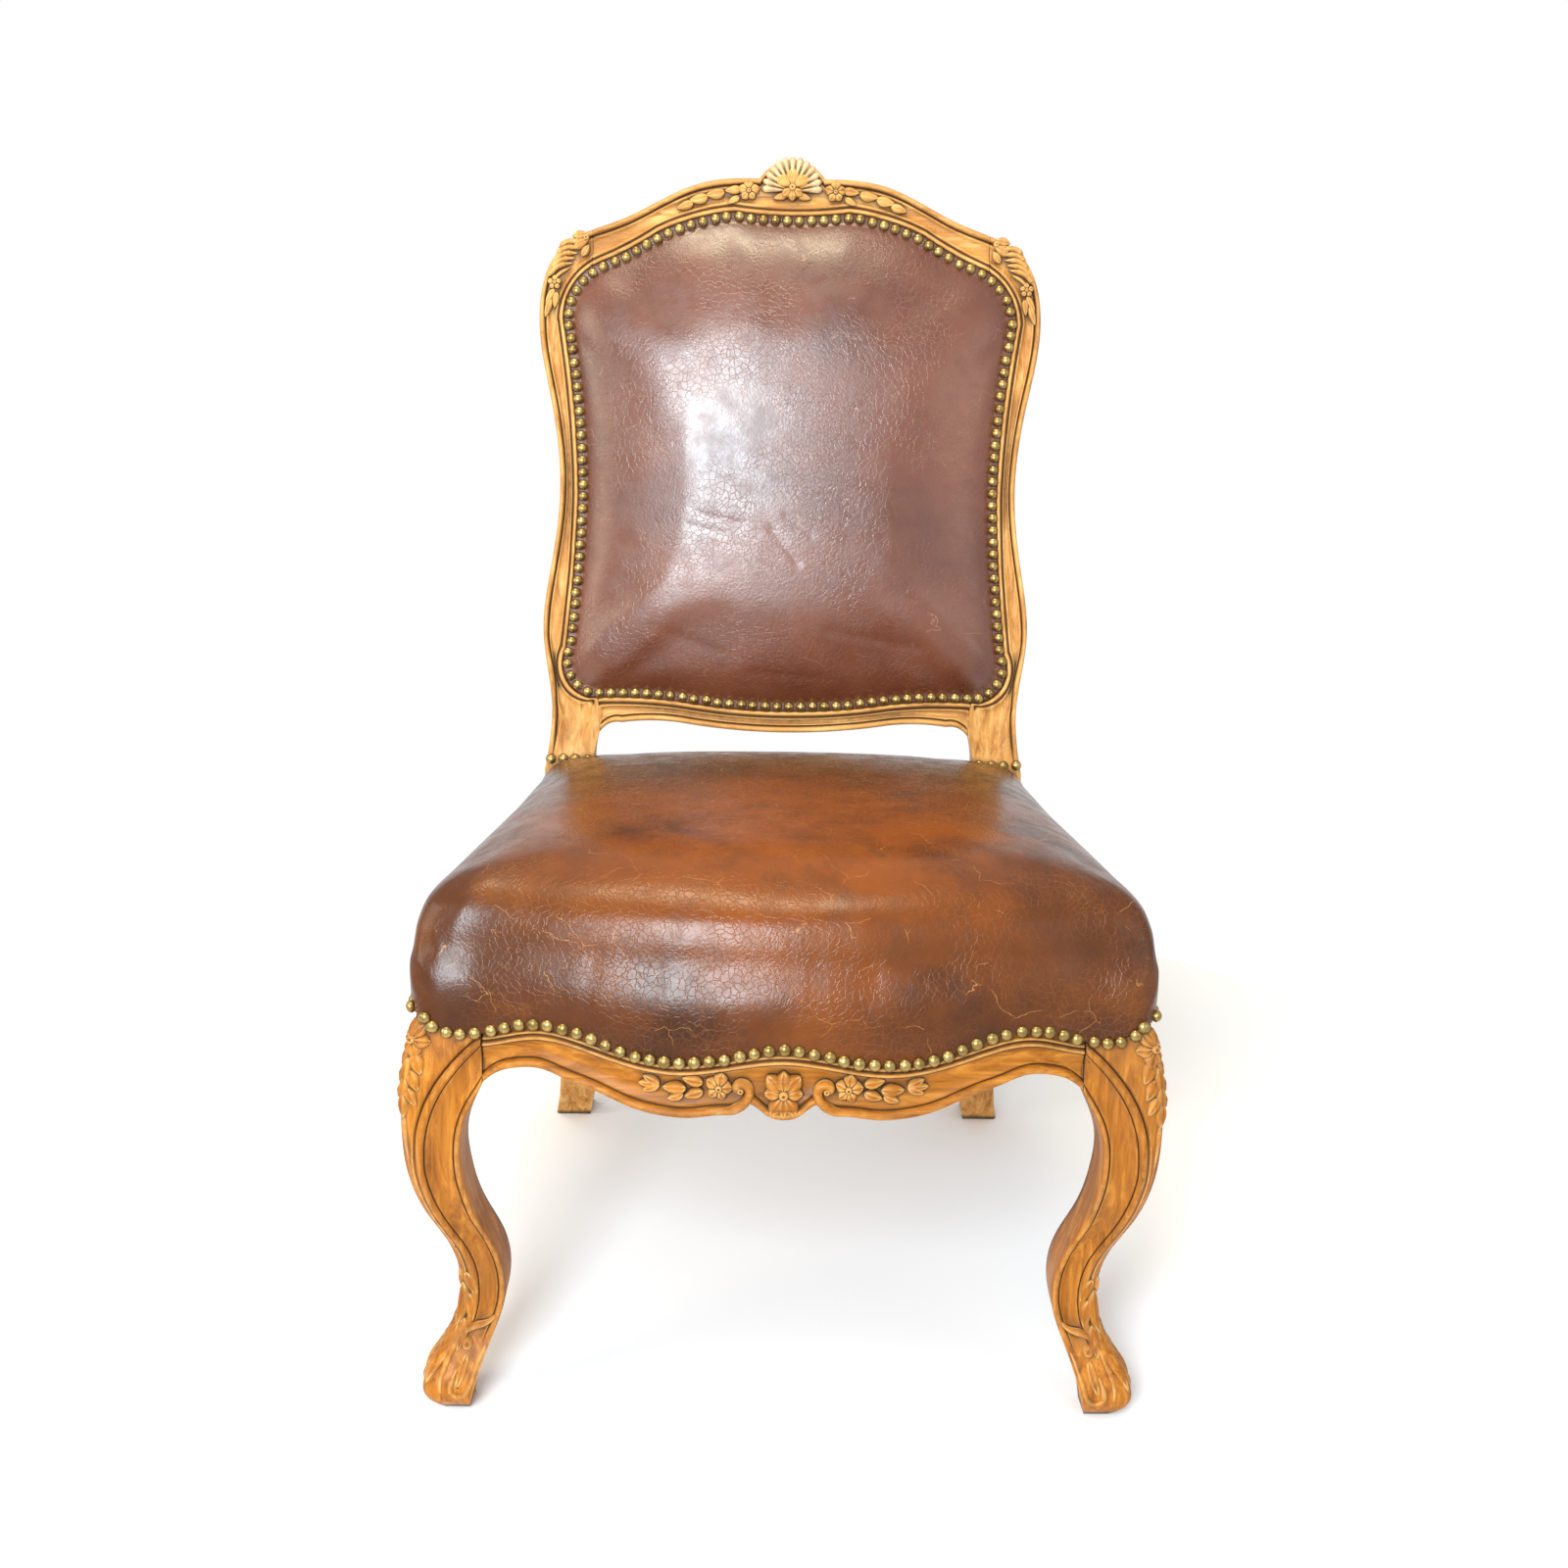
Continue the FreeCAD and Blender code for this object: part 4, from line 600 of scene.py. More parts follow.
def back_y(z, depth=0.0):
    """Place of the back at a height, at a depth behind its face."""
    return BACK_FACE + (z - POST_BASE) * math.tan(LEAN) + depth / math.cos(LEAN)


def rear_leg(z, foot, calf, top, splay):
    """One face of a rear leg by height, level with the post at its top."""
    return natural((-1, 0, CALF, LEG_TOP, LEG_TOP + 1), (foot + splay, foot, calf, top, top), z)


def side_y(z, front=True):
    """Front or back of the rear legs and back at a height."""
    z = np.asarray(z, float)
    line = LEG_FRONT if front else LEG_REAR
    depth = 0 if front else THICK - PROUD
    rise = np.clip((z - POST_TURN) / (POST_BASE - POST_TURN), 0, 1)
    post = line[-1] + (back_y(POST_BASE, depth) - line[-1]) * rise
    return np.where(z < LEG_TOP, rear_leg(z, *line, 0.55), np.where(z < POST_BASE, post, back_y(z, depth)))


def matched(outer, inner, outer_marks, inner_marks, step=1.5):
    """Two edges cut at marks and resampled so that their points pair up."""
    pairs = [[], []]
    for k in range(len(outer_marks) - 1):
        parts = [line[marks[k]:marks[k + 1] + 1]
                 for line, marks in ((outer, outer_marks), (inner, inner_marks))]
        count = max(2, int(max(lengths(p)[-1] for p in parts) / step) + 1)
        for pair, part in zip(pairs, parts):
            points = evenly(part, count)
            pair.append(points if k == 0 else points[1:])
    return np.concatenate(pairs[0]), np.concatenate(pairs[1])


# Distances from either edge at which the back's mouldings are cut.
OUTER_CUTS = np.array((0, 0.25, 0.7, 1.3, 2.0, 2.7, 3.4, 4.0, 4.45, 4.75, 5.0, 5.35, 5.7, 6.0, 6.5))
INNER_CUTS = np.array((6.4, 6.0, 5.6, 5.2, 4.8, 4.4, 4.1, 3.7, 3.2, 2.6, 2.0, 1.4, 0.8, 0.35, 0))
COVE_CUTS = 13
OUTER_BEAD, OUTER_GROOVE, OUTER_FOOT = 5.0, 1.5, -1.6
INNER_BEAD, INNER_GROOVE, INNER_FOOT = 4.2, 2.2, -1.8
COVE_FOOT, COVE_LIP, COVE_DIP = -1.7, 1.2, 1.9
ROUND_OVER = 4.0


def moulding(width, outer_fade, inner_fade):
    """Distances from the outer edge across one row, and the height there: outer bead, groove,
    cove with raised lips, groove and inner bead. Where the outer mouldings fade, the edge is rounded."""
    start, end = OUTER_CUTS[-1], INNER_CUTS[0]
    u = np.concatenate([OUTER_CUTS, np.linspace(start, width - end, COVE_CUTS + 2)[1:-1], width - INNER_CUTS])
    back = width - u
    outer = bead(u, 0, OUTER_BEAD, 3.0, OUTER_FOOT) + groove(u, OUTER_BEAD, OUTER_GROOVE, 1.3, OUTER_FOOT)
    inner = bead(back, 0, INNER_BEAD, 2.6, INNER_FOOT)
    inner = inner + groove(back, INNER_BEAD, INNER_GROOVE, 1.1, INNER_FOOT)
    share = np.clip((u - start) / max(width - start - end, 0.1), 0, 1)
    lip = np.sin(np.pi * np.clip(5 * np.minimum(share, 1 - share), 0, 1))
    cove = COVE_FOOT + COVE_LIP * lip - COVE_DIP * np.sin(np.pi * share) ** 0.8
    cove = np.where((u >= start) & (back >= end), cove, 0)
    rounded = np.sqrt(np.maximum(ROUND_OVER ** 2 - (ROUND_OVER - u) ** 2, 0)) - ROUND_OVER
    rounded = np.where(u < ROUND_OVER, rounded, 0)
    return u, (outer + cove) * outer_fade + rounded * (1 - outer_fade) + inner * inner_fade


def strip_rings(outer, inner, outer_fade, inner_fade):
    """Rings round a moulded bar from its paired edges: front, inner side, back and outer side."""
    rings = []
    quarters = np.array((0.25, 0.5, 0.75, 1.0))
    for o, i, a, b in zip(outer, inner, outer_fade, inner_fade):
        width = np.linalg.norm(i - o)
        u, height = moulding(width, a, b)
        plan = o + (i - o) * (u / width)[:, None]
        front = np.stack([plan[:, 0], side_y(plan[:, 1]), plan[:, 1]], 1) + np.outer(height, NORMAL)
        front[:, 2] = np.maximum(front[:, 2], 0)
        near, far = side_y(i[1]), side_y(i[1], False)
        inner_side = [(i[0], near + (far - near) * s, i[1]) for s in quarters]
        across = i + (o - i) * np.array((*quarters[:-1], 1 - ROUND_OVER / width))[:, None]
        rear = [(x, side_y(z, False), z) for x, z in across]
        corner = []
        for swing in quarters * math.pi / 2:
            x, z = o + (i - o) / width * ROUND_OVER * (1 - math.sin(swing))
            corner.append((x, side_y(z, False) - ROUND_OVER * (1 - math.cos(swing)), z))
        near, far = side_y(o[1]), side_y(o[1], False) - ROUND_OVER
        outer_side = [(o[0], near + (far - near) * s, o[1]) for s in (0.85, 0.6, 0.35, 0.17)]
        rings.append(np.concatenate([front, inner_side, rear, corner, outer_side]))
    return np.array(rings)


def pinched(rings, *ends, depth=0.03):
    """Draws in the last rows of a bar's ends a little, so that the joint shows as a fine line."""
    for first, second in ends:
        for row, share in ((first, 1), (second, 0.5)):
            rings[row] += (rings[row].mean(0) - rings[row]) * depth * share
    return rings


def crest_joint(panel):
    """Index on the panel's edge where the crest rail meets the stile."""
    start = nearest(panel, CREST_JOINT) - 6
    return start + int(np.argmin(np.abs(panel[start:start + 13, 0] - CREST_JOINT[0])))


def stile():
    """Right-hand stile with its rear leg."""
    stations = ("ear_top", "ear", "upper_waist", "waist", "lower_waist", "hip", "neck")
    edge = smooth_line(spots("base", *stations[::-1], "shoulder"))[::-1]
    panel, fitted = nail_line(-WOOD_EDGE)
    names = [name for name, *_ in NAIL_LINE]
    corner = nearest(panel, SILL_JOINT)
    slot = arc_chain(spots("slot_corner", "slot_bend", "slot_foot"))
    joint = evenly((panel[corner], slot[0]), 12)[1:-1]
    inner = np.concatenate([panel[:corner + 1], joint, slot])
    outer_marks = [0] + [nearest(edge, spots(n)) for n in stations] + [len(edge) - 1]
    inner_marks = [nearest(panel, fitted[names.index(n)]) for n in stations]
    outer, inner = matched(edge, inner, outer_marks, [crest_joint(panel)] + inner_marks + [len(inner) - 1])
    outer_fade = ease(outer[:, 1], 392, 420)
    inner_fade = ease(inner[:, 1], NAIL_SILL, NAIL_SILL + 5)
    # Post and leg below, plain and square.
    z = np.concatenate([np.linspace(POST_BASE - 1, LEG_TOP, 40), np.linspace(LEG_TOP - 3, 0, 60)])
    outside = np.where(z >= LEG_TOP, POST_HALF, rear_leg(z, *LEG_OUTSIDE, 0.2))
    inside = np.where(z >= LEG_TOP, POST_INNER, rear_leg(z, *LEG_INSIDE, 0.2))
    outer = np.concatenate([outer, np.stack([outside, z], 1)])
    inner = np.concatenate([inner, np.stack([inside, z + 10 * ease(z, 360, POST_BASE - 1)], 1)])
    plain = np.zeros(len(z))
    fades = [np.concatenate([fade, plain]) for fade in (outer_fade, inner_fade)]
    rings = strip_rings(outer, inner, *fades)
    return Shell().bar(pinched(rings, (0, 1)), flip=True)


def sill():
    """Lower rail of the back, between the stiles."""
    panel, _ = nail_line(-WOOD_EDGE)
    slot = arc_chain(spots("slot_corner", "slot_turn", "slot_end", "slot_side", "slot_rise"))
    outer = np.concatenate([slot[:-1], half_arc(slot[-1], spots("sill")[0])])
    inner = panel[nearest(panel, SILL_JOINT):]
    outer, inner = matched(outer, inner, [0, len(slot) - 1, len(outer) - 1],
                           [0, nearest(inner, (94, 449)), len(inner) - 1])
    outer = mirrored(outer)
    fade = ease(JOINT - np.abs(outer[:, 0]), 49, 52)
    rings = strip_rings(outer, mirrored(inner), fade, np.ones(len(outer)))
    return Shell().bar(pinched(rings, (0, 1), (-1, -2)))


def crest():
    """Crest rail, between the stiles, with the blank of the shell in its middle."""
    panel, _ = nail_line(-WOOD_EDGE)
    edge = smooth_line(spots("shell", "brow", "slope", "flank", "hollow", "shoulder"))
    cap = arch((0, SHELL_TOP - 0.5), spots("shell")[0])
    outer = np.concatenate([cap[:-1], edge])
    inner = panel[:crest_joint(panel) + 1]
    bends = [nearest(outer, spots(name)) for name in ("slope", "hollow")]
    outer_marks = [0, len(cap) - 1] + bends + [len(outer) - 1]
    inner_marks = [0] + [nearest(inner, p) for p in ((26, 878), (87, 873), (142, 847))] + [len(inner) - 1]
    outer, inner = (np.concatenate([line[::-1] * (-1, 1), line[1:]])
                    for line in matched(outer, inner, outer_marks, inner_marks))
    one = np.ones(len(outer))
    return Shell().bar(pinched(strip_rings(outer, inner, one, one), (0, 1), (-1, -2)))


# The seat frame.

def front_y(x, z):
    """Face of the front rail, bowed in plan and leaning out towards its lower edge."""
    radius = (JOINT ** 2 + BOW ** 2) / (2 * BOW)
    bow = np.sqrt(radius ** 2 - np.minimum(np.abs(x), JOINT) ** 2) - (radius - BOW)
    return RAIL_FACE - bow - FLARE * (RAIL_TOP - z) / FLARE_FALL


def wave(x, lower=0.0):
    """Height of the front nails' line."""
    return natural([p[0] for p in WAVE], [p[1] for p in WAVE], x) - lower


# Distances from the rail's lower edge, and down from the leather, at which its mouldings are cut.
LOWER_CUTS = np.array((0, 0.3, 0.9, 1.7, 2.6, 3.5, 4.4, 5.2, 5.8, 6.2, 6.5, 6.9, 7.3, 7.8))
UPPER_CUTS = np.array((9.6, 9.1, 8.7, 8.2, 7.6, 7.0, 6.4, 5.9, 5.5, 5.1, 4.7, 4.2, 3.6, 3.0, 2.4, 1.9, 1.5,
                       1.1, 0.7, 0))
APRON_FOOT = -1.8


def apron_profile(height):
    """Distances up from the rail's lower edge to the leather, and the relief there."""
    start, end = LOWER_CUTS[-1], UPPER_CUTS[0]
    u = np.concatenate([LOWER_CUTS, np.linspace(start, height - end, 14)[1:-1], height - UPPER_CUTS])
    down = height - u
    relief = bead(u, 0, 6.5, 3.6, APRON_FOOT) + groove(u, 6.5, 1.3, 1.2, APRON_FOOT)
    share = np.clip((u - start) / max(height - start - end, 0.1), 0, 1)
    cove = APRON_FOOT - 2.4 * np.sin(np.pi * share) ** 0.8
    relief = np.where((u >= start) & (down >= end), cove, relief)
    for low, width, rise in ((5.1, 3.6, 2.6), (1.1, 3.1, 2.0)):
        line = groove(down, low + width, 0.9, 0.9, APRON_FOOT)
        relief = np.where((down > low + width) & (down < low + width + 0.9), line, relief)
        raised = (down <= low + width) & (down >= low)
        relief = np.where(raised, bead(down, low, width, rise, APRON_FOOT), relief)
    return u, np.where(down < 1.1, APRON_FOOT, relief)


def front_rail():
    """Front rail: moulded lower edge, cove and a double bead under the nails."""
    line = evenly(smooth_line([(-x, z) for x, z in APRON[:-1]] + list(APRON[::-1])), 420)
    line[0], line[-1] = (-JOINT, APRON[0][1]), APRON[0]
    top_z = RAIL_TOP - 0.5
    rings = []
    for x, z in line:
        top = wave(x, NAIL_EDGE)
        u, relief = apron_profile(top - z)
        front = np.stack([np.full_like(u, x), front_y(x, z + u) - relief, z + u], 1)
        above = np.linspace(top + 4, top_z, 5)
        upper = np.stack([np.full(5, x), front_y(x, above) + 2.0, above], 1)
        rear = front_y(x, RAIL_TOP) + RAIL_THICK
        deep = [(x, rear, level) for level in (top_z, (RAIL_TOP + z) / 2, z + 1)]
        under = [(x, rear + (front_y(x, z) - rear) * s, z) for s in (0.2, 0.45, 0.7, 0.9)]
        rings.append(np.concatenate([front, upper, deep, under]))
    return Shell().bar(np.array(rings))


def leg_size(z, column):
    """Outer face, width or rounding of a front leg at a height, by its column in the table."""
    rows = FRONT_LEG[::-1]
    heights = np.ravel(np.clip(z, 0, RAIL_TOP))
    return natural([row[0] for row in rows], [row[column] for row in rows], heights).reshape(np.shape(z))


OUTER_FACE, WIDTH, ROUNDING = 1, 2, 3


def across(points):
    """Points of a front leg's front face moved to its side face, the mirror image."""
    return np.stack([LEG_SET - points[..., 1], LEG_SET - points[..., 0], points[..., 2]], -1)


def leg_half():
    """Front half of the right-hand front leg, as rows from its inner edge to the middle of its arris."""
    inner = evenly(smooth_line(LEG_INNER), 280)
    run = lengths(inner)
    marks = [run[int(np.argmin(np.abs(inner[:, 1] - row[0])))] for row in LEG_FAR]
    far = np.stack([np.interp(run, marks, [row[k] for row in LEG_FAR]) for k in (1, 2)], 1)
    reach = 4
    window = 2 * reach + 1
    padded = np.concatenate([np.repeat(far[:1], reach, 0), far, np.repeat(far[-1:], reach, 0)])
    far = np.stack([np.convolve(padded[:, k], np.full(window, 1 / window), "valid") for k in (0, 1)], 1)
    head = ease(far[:, 1], 300, 322)
    far[:, 0] = far[:, 0] * head + leg_size(far[:, 1], OUTER_FACE) * (1 - head)
    return np.array([leg_row(a, b, np.linalg.norm(b - a)) for a, b in zip(inner, far)])


LEG_BEAD, LEG_RIDGE, LEG_GROOVE, LEG_BAND = 5.0, 6.5, 1.0, 9.0
LEG_COVE_LEAST, LEG_COVE = 6.0, 21.0
LEG_FOOT = -1.4
LEG_CUTS = (9, 4, 14, 4, 10, 4)
BAND_CUTS = 22


def leg_row(a, b, width):
    """One row of the leg's front face: inner bead, cove, outer bead and the arris band."""
    rest = LEG_BEAD + LEG_RIDGE + LEG_BAND
    cove = np.clip(width - rest, LEG_COVE_LEAST, LEG_COVE)
    fit = np.clip((width - cove) / rest, 0.4, 1.0)
    inner, ridge, slot = LEG_BEAD * fit, LEG_RIDGE * fit, LEG_GROOVE * fit
    marks = np.cumsum([0, inner, slot, cove, slot, ridge, slot])
    runs = [np.linspace(m, n, cuts, endpoint=False) for m, n, cuts in zip(marks, marks[1:], LEG_CUTS)]
    u = np.concatenate(runs + [np.linspace(marks[-1], width, BAND_CUTS)])
    relief = bead(u, 0, inner, 2.6, LEG_FOOT)
    for k in (1, 3, 5):
        inside = (u > marks[k]) & (u < marks[k + 1])
        relief = np.where(inside, groove(u, marks[k], slot, 1.1, LEG_FOOT), relief)
    share = np.clip((u - marks[2]) / cove, 0, 1)
    dip = LEG_FOOT - 3.2 * np.sin(np.pi * share) ** 0.85
    relief = np.where((u >= marks[2]) & (u <= marks[3]), dip, relief)
    relief = np.where((u > marks[4]) & (u < marks[5]), bead(u, marks[4], ridge, 2.8, LEG_FOOT), relief)
    relief = np.where(u >= marks[6], LEG_FOOT * (1 - ease(u, marks[6], marks[6] + 2.5)), relief)
    x, z = (a + (b - a) * (u / width)[:, None]).T
    relief = relief * ease(z, 50, 72)
    outer, rounding = leg_size(z, OUTER_FACE), leg_size(z, ROUNDING)
    # Near the arris the face turns on a circle, as far as its middle at 45 degrees.
    start = outer - rounding
    angle = np.clip((x - start) / rounding, 0, 1) * math.pi / 4
    turned_x = start + (rounding + relief) * np.sin(angle)
    turned_y = LEG_SET - start - (rounding + relief) * np.cos(angle)
    return np.stack([np.where(x > start, turned_x, x),
                     np.where(x > start, turned_y, LEG_SET - outer - relief), z], 1)


LEG_HEAD = 322.5
KNEE_FOOT = 261


def front_leg():
    """Right-hand front leg: a moulded front half, its mirror image on the side, and plain backs."""
    rows = leg_half()
    side = across(rows)
    path = np.concatenate([rows[0, ::-1], rows[1:, 0]])
    z = path[:, 2]
    x = leg_size(z, OUTER_FACE) - leg_size(z, WIDTH)
    x = np.minimum(np.where(z > KNEE_FOOT, np.maximum(x, JOINT), x), path[:, 0] + 4)
    corner = np.stack([x, LEG_SET - x, z], 1)
    blend = np.linspace(0, 1, 6)[None, :, None]
    wall = path[:, None] * (1 - blend) + corner[:, None] * blend
    shell = Shell()
    shell.grid(rows, flip=True)
    shell.grid(side)
    shell.grid(wall)
    shell.grid(across(wall), flip=True)
    shell.cap(np.concatenate([rows[-1], side[-1][::-1], corner[-1:]]))
    head = rows[:, -1, 2] > LEG_HEAD
    shell.cap(np.concatenate([corner[:1], rows[0, -1:], rows[head, -1], side[head, -1][::-1], side[0, -1:]]))
    return shell


# Carving, in a flat plane (across, up, out) that is then laid on the wood.

def leaf_shape(length, width, rise, curl=0.0, vein=0.25, point=0.75):
    """A leaf along +X from the origin, with a vein, swelling in the middle."""
    s = np.linspace(0, 1, 15)[:, None]
    t = np.linspace(-1, 1, 11)[None, :]
    half = width / 2 * np.sin(np.pi * np.clip(s ** point, 0.02, 0.985)) ** 0.75
    body = np.sqrt(np.clip(1 - t * t, 0, 1)) * (0.35 + 0.65 * np.sin(np.pi * s ** 0.8))
    out = rise * (body - vein * np.exp(-(t / 0.16) ** 2)) - 0.7
    return np.stack([length * s + 0 * t, half * t + curl * length * s * s, out], -1)


def button_shape(radius, rise):
    """A round boss with a small dimple."""
    s = np.linspace(0.001, 1, 7)[:, None]
    a = np.linspace(0, 2 * math.pi, 16, endpoint=False)[None, :]
    out = rise * np.sqrt(np.clip(1 - s * s, 0, 1)) - 0.35 * rise * np.exp(-(s / 0.3) ** 2) + 0 * a - 0.6
    return np.stack([radius * s * np.cos(a), radius * s * np.sin(a), out], -1)


def laid(points, degrees, place, lift):
    """An element turned in its plane, moved to a place and lifted."""
    c, s = math.cos(math.radians(degrees)), math.sin(math.radians(degrees))
    x, y, out = np.moveaxis(points, -1, 0)
    return np.stack([x * c - y * s + place[0], x * s + y * c + place[1], out + lift], -1)


def facing(degrees, side):
    """A direction on the right-hand side of the chair, or its mirror image on the left."""
    return degrees if side > 0 else 180 - degrees


class Carving:
    """Carved elements, laid on a surface of the chair."""

    def __init__(self, shell, surface):
        self.shell = shell
        self.surface = surface

    def put(self, points, wrap=False, deep=3.0):
        """Lays an element on the wood as a closed shape, its back sunk below the surface."""
        x, y, out = np.moveaxis(points, -1, 0)
        front = self.surface(x, y, out)
        rear = self.surface(x, y, np.full(x.shape, -deep))
        self.shell.grid(front, wrap=wrap)
        self.shell.grid(rear, wrap=wrap, flip=True)
        self.shell.grid(np.stack([rear[0], front[0]]), wrap=wrap)
        self.shell.grid(np.stack([front[-1], rear[-1]]), wrap=wrap)
        if not wrap:
            self.shell.grid(np.stack([front[:, 0], rear[:, 0]]))
            self.shell.grid(np.stack([rear[:, -1], front[:, -1]]))

    def leaf(self, place, degrees, *size, lift=0.0, **more):
        self.put(laid(leaf_shape(*size, **more), degrees, place, lift))

    def petal(self, centre, gap, degrees, *size, **more):
        """A leaf that starts a little away from a centre."""
        way = math.radians(degrees)
        self.leaf((centre[0] + gap * math.cos(way), centre[1] + gap * math.sin(way)), degrees, *size, **more)

    def spray(self, side, leaves, plump, rise, curl=0.0, **more):
        """Leaves on one side of the chair, each by its root, turn and length, as wide as a share of it."""
        for (x, z), turn, length in leaves:
            size = (length, length * plump, rise)
            self.leaf((side * x, z), facing(turn, side), *size, curl=curl * side, **more)

    def button(self, place, radius, rise, lift=0.0):
        self.put(laid(button_shape(radius, rise), 0, place, lift), wrap=True)

    def flower(self, place, petals, length, width, rise, start=90.0, lift=0.0, core=2.3, bigger=0.0):
        """Uneven petals round a button."""
        for k in range(petals):
            angle = start + 360 * k / petals + RNG.uniform(-6, 6)
            grow = 1 + bigger * math.sin(math.radians(angle)) + RNG.uniform(-0.06, 0.06)
            self.petal(place, 0.6, angle, length * grow, width * grow, rise, lift=lift, point=1.25, vein=0.3)
        self.button(place, core, rise * 1.25, lift=lift + 0.5)

    def fan(self, place, flutes, radius, spread, rise, lift=0.0):
        """A shell: flutes that spread from a point, with a scalloped rim that turns down."""
        s = np.linspace(0.12, 1, 22)[:, None]
        t = np.linspace(-1, 1, flutes * 10 + 1)[None, :]
        ribs = np.abs(np.sin(np.pi * flutes * (t + 1) / 2))
        reach = radius * (1 - 0.10 * (1 - ribs ** 0.7) * s) * (1 - 0.10 * t * t)
        angle = math.pi / 2 - math.radians(spread) * t
        rim = ease(s, 0.93, 1.0)
        out = rise * (0.3 + 0.7 * ribs ** 0.8) * np.sin(np.pi * np.clip(s * 0.86 + 0.08, 0, 1)) ** 0.6
        out = out * (1 - 0.3 * np.abs(t) ** 3) - 0.7 - 1.6 * rim + lift * (1 - rim)
        x, y = place[0] + reach * s * np.cos(angle), place[1] + reach * s * np.sin(angle)
        self.put(np.stack([x, y, out], -1))

    def cord(self, points, radius, rise=1.0, taper=(0.3, 0.3)):
        """A half-round ridge along a line, thinner to its ends."""
        line = evenly(smooth_line(points), 60)
        way = np.gradient(line, axis=0)
        way /= np.linalg.norm(way, axis=1)[:, None]
        side = np.stack([-way[:, 1], way[:, 0]], 1)
        t = np.linspace(0, 1, len(line))
        slim = radius * np.minimum(1, 0.15 + np.minimum(t / taper[0], (1 - t) / taper[1]))[:, None]
        swing = np.linspace(-1, 1, 9)[None, :] * math.pi / 2
        plan = line[:, None] + side[:, None] * (slim * np.sin(swing))[..., None]
        self.put(np.concatenate([plan, (slim * rise * np.cos(swing) - 0.6)[..., None]], -1))


def on_back(x, z, h):
    """The back's face."""
    return np.stack([x, back_y(z), z], -1) + h[..., None] * NORMAL


def on_front(x, z, h):
    """The front rail's face."""
    return np.stack([x, front_y(x, z) - h, z], -1)


def on_knee(u, z, h):
    """Round the arris of the right-hand front leg: u runs from its front to its side."""
    outer, rounding = leg_size(z, OUTER_FACE), leg_size(z, ROUNDING)
    angle = np.clip(u / rounding + math.pi / 4, -0.2, math.pi / 2 + 0.2)
    beyond = u - (angle - math.pi / 4) * rounding
    x = outer - rounding + (rounding + h) * np.sin(angle) + np.minimum(beyond, 0)
    y = LEG_SET - outer + rounding - (rounding + h) * np.cos(angle) + np.maximum(beyond, 0)
    return np.stack([x, y, z], -1)


def on_foot(x, z, h):
    """Front face of the right-hand front leg."""
    return np.stack([x, LEG_SET - leg_size(z, OUTER_FACE) - h, z], -1)


def on_foot_side(x, z, h):
    """Side face of the same leg."""
    return across(on_foot(x, z, h))


def carve_crest(shell):
    """Leaves and a flower on either side of the crest's shell, and a flower on it."""
    work = Carving(shell, on_back)
    leaves = (((45, 899), -14, 15), ((47, 892.5), -38, 12), ((60, 896), -16, 17), ((75, 892), -20, 17),
              ((88, 886.5), -26, 15))
    for side in (-1, 1):
        work.spray(side, leaves, 0.56, 3.4, curl=0.1)
        work.flower((side * 38.5, 897), 5, 8.4, 8.0, 3.8, lift=1.0, bigger=0.1)
        work.leaf((side * 4, 895), facing(-18, side), 13, 7, 3.0, lift=0.6)
    centre = (0, 900)
    for turns, length, width in (((90, 34, 146), 16, 13), ((218, 270, 322), 10, 8)):
        for degrees in turns:
            work.petal(centre, 1, degrees, length, width, 4.2, lift=3.2, point=1.25, vein=0.2)
    work.button(centre, 3.6, 4.2, lift=4.0)


def carve_ear(shell):
    """Leaves, reeds and a flower at the right-hand top corner, on the stile."""
    work = Carving(shell, on_back)
    upper = (((181, 858), -8, 14), ((180.5, 854), -30, 16), ((180, 849), -58, 12))
    work.spray(1, upper, 0.62, 3.4, lift=0.3, point=1.1)
    work.button((182.5, 855), 2.8, 3.6, lift=1.2)
    for t in np.linspace(0, 1, 5):
        start = np.array((186 + 9 * t, 850 - 17 * t))
        end = np.array((207 + 10 * t, 846 - 26 * t))
        work.cord([start, (start + end) / 2 + (2.5, 3.0), end], 2.7, 1.35, taper=(0.35, 0.2))
    work.cord([(197, 829), (206, 824), (215, 813)], 1.6, 1.2)
    work.flower((210.5, 816), 5, 5.8, 5.2, 3.0, lift=0.8, core=1.9)
    for root, turn, length in (((211, 811), -62, 16), ((213.5, 803), -72, 18), ((209, 808), -84, 14)):
        work.leaf(root, turn, length, 6.5, 3.0, lift=0.4)


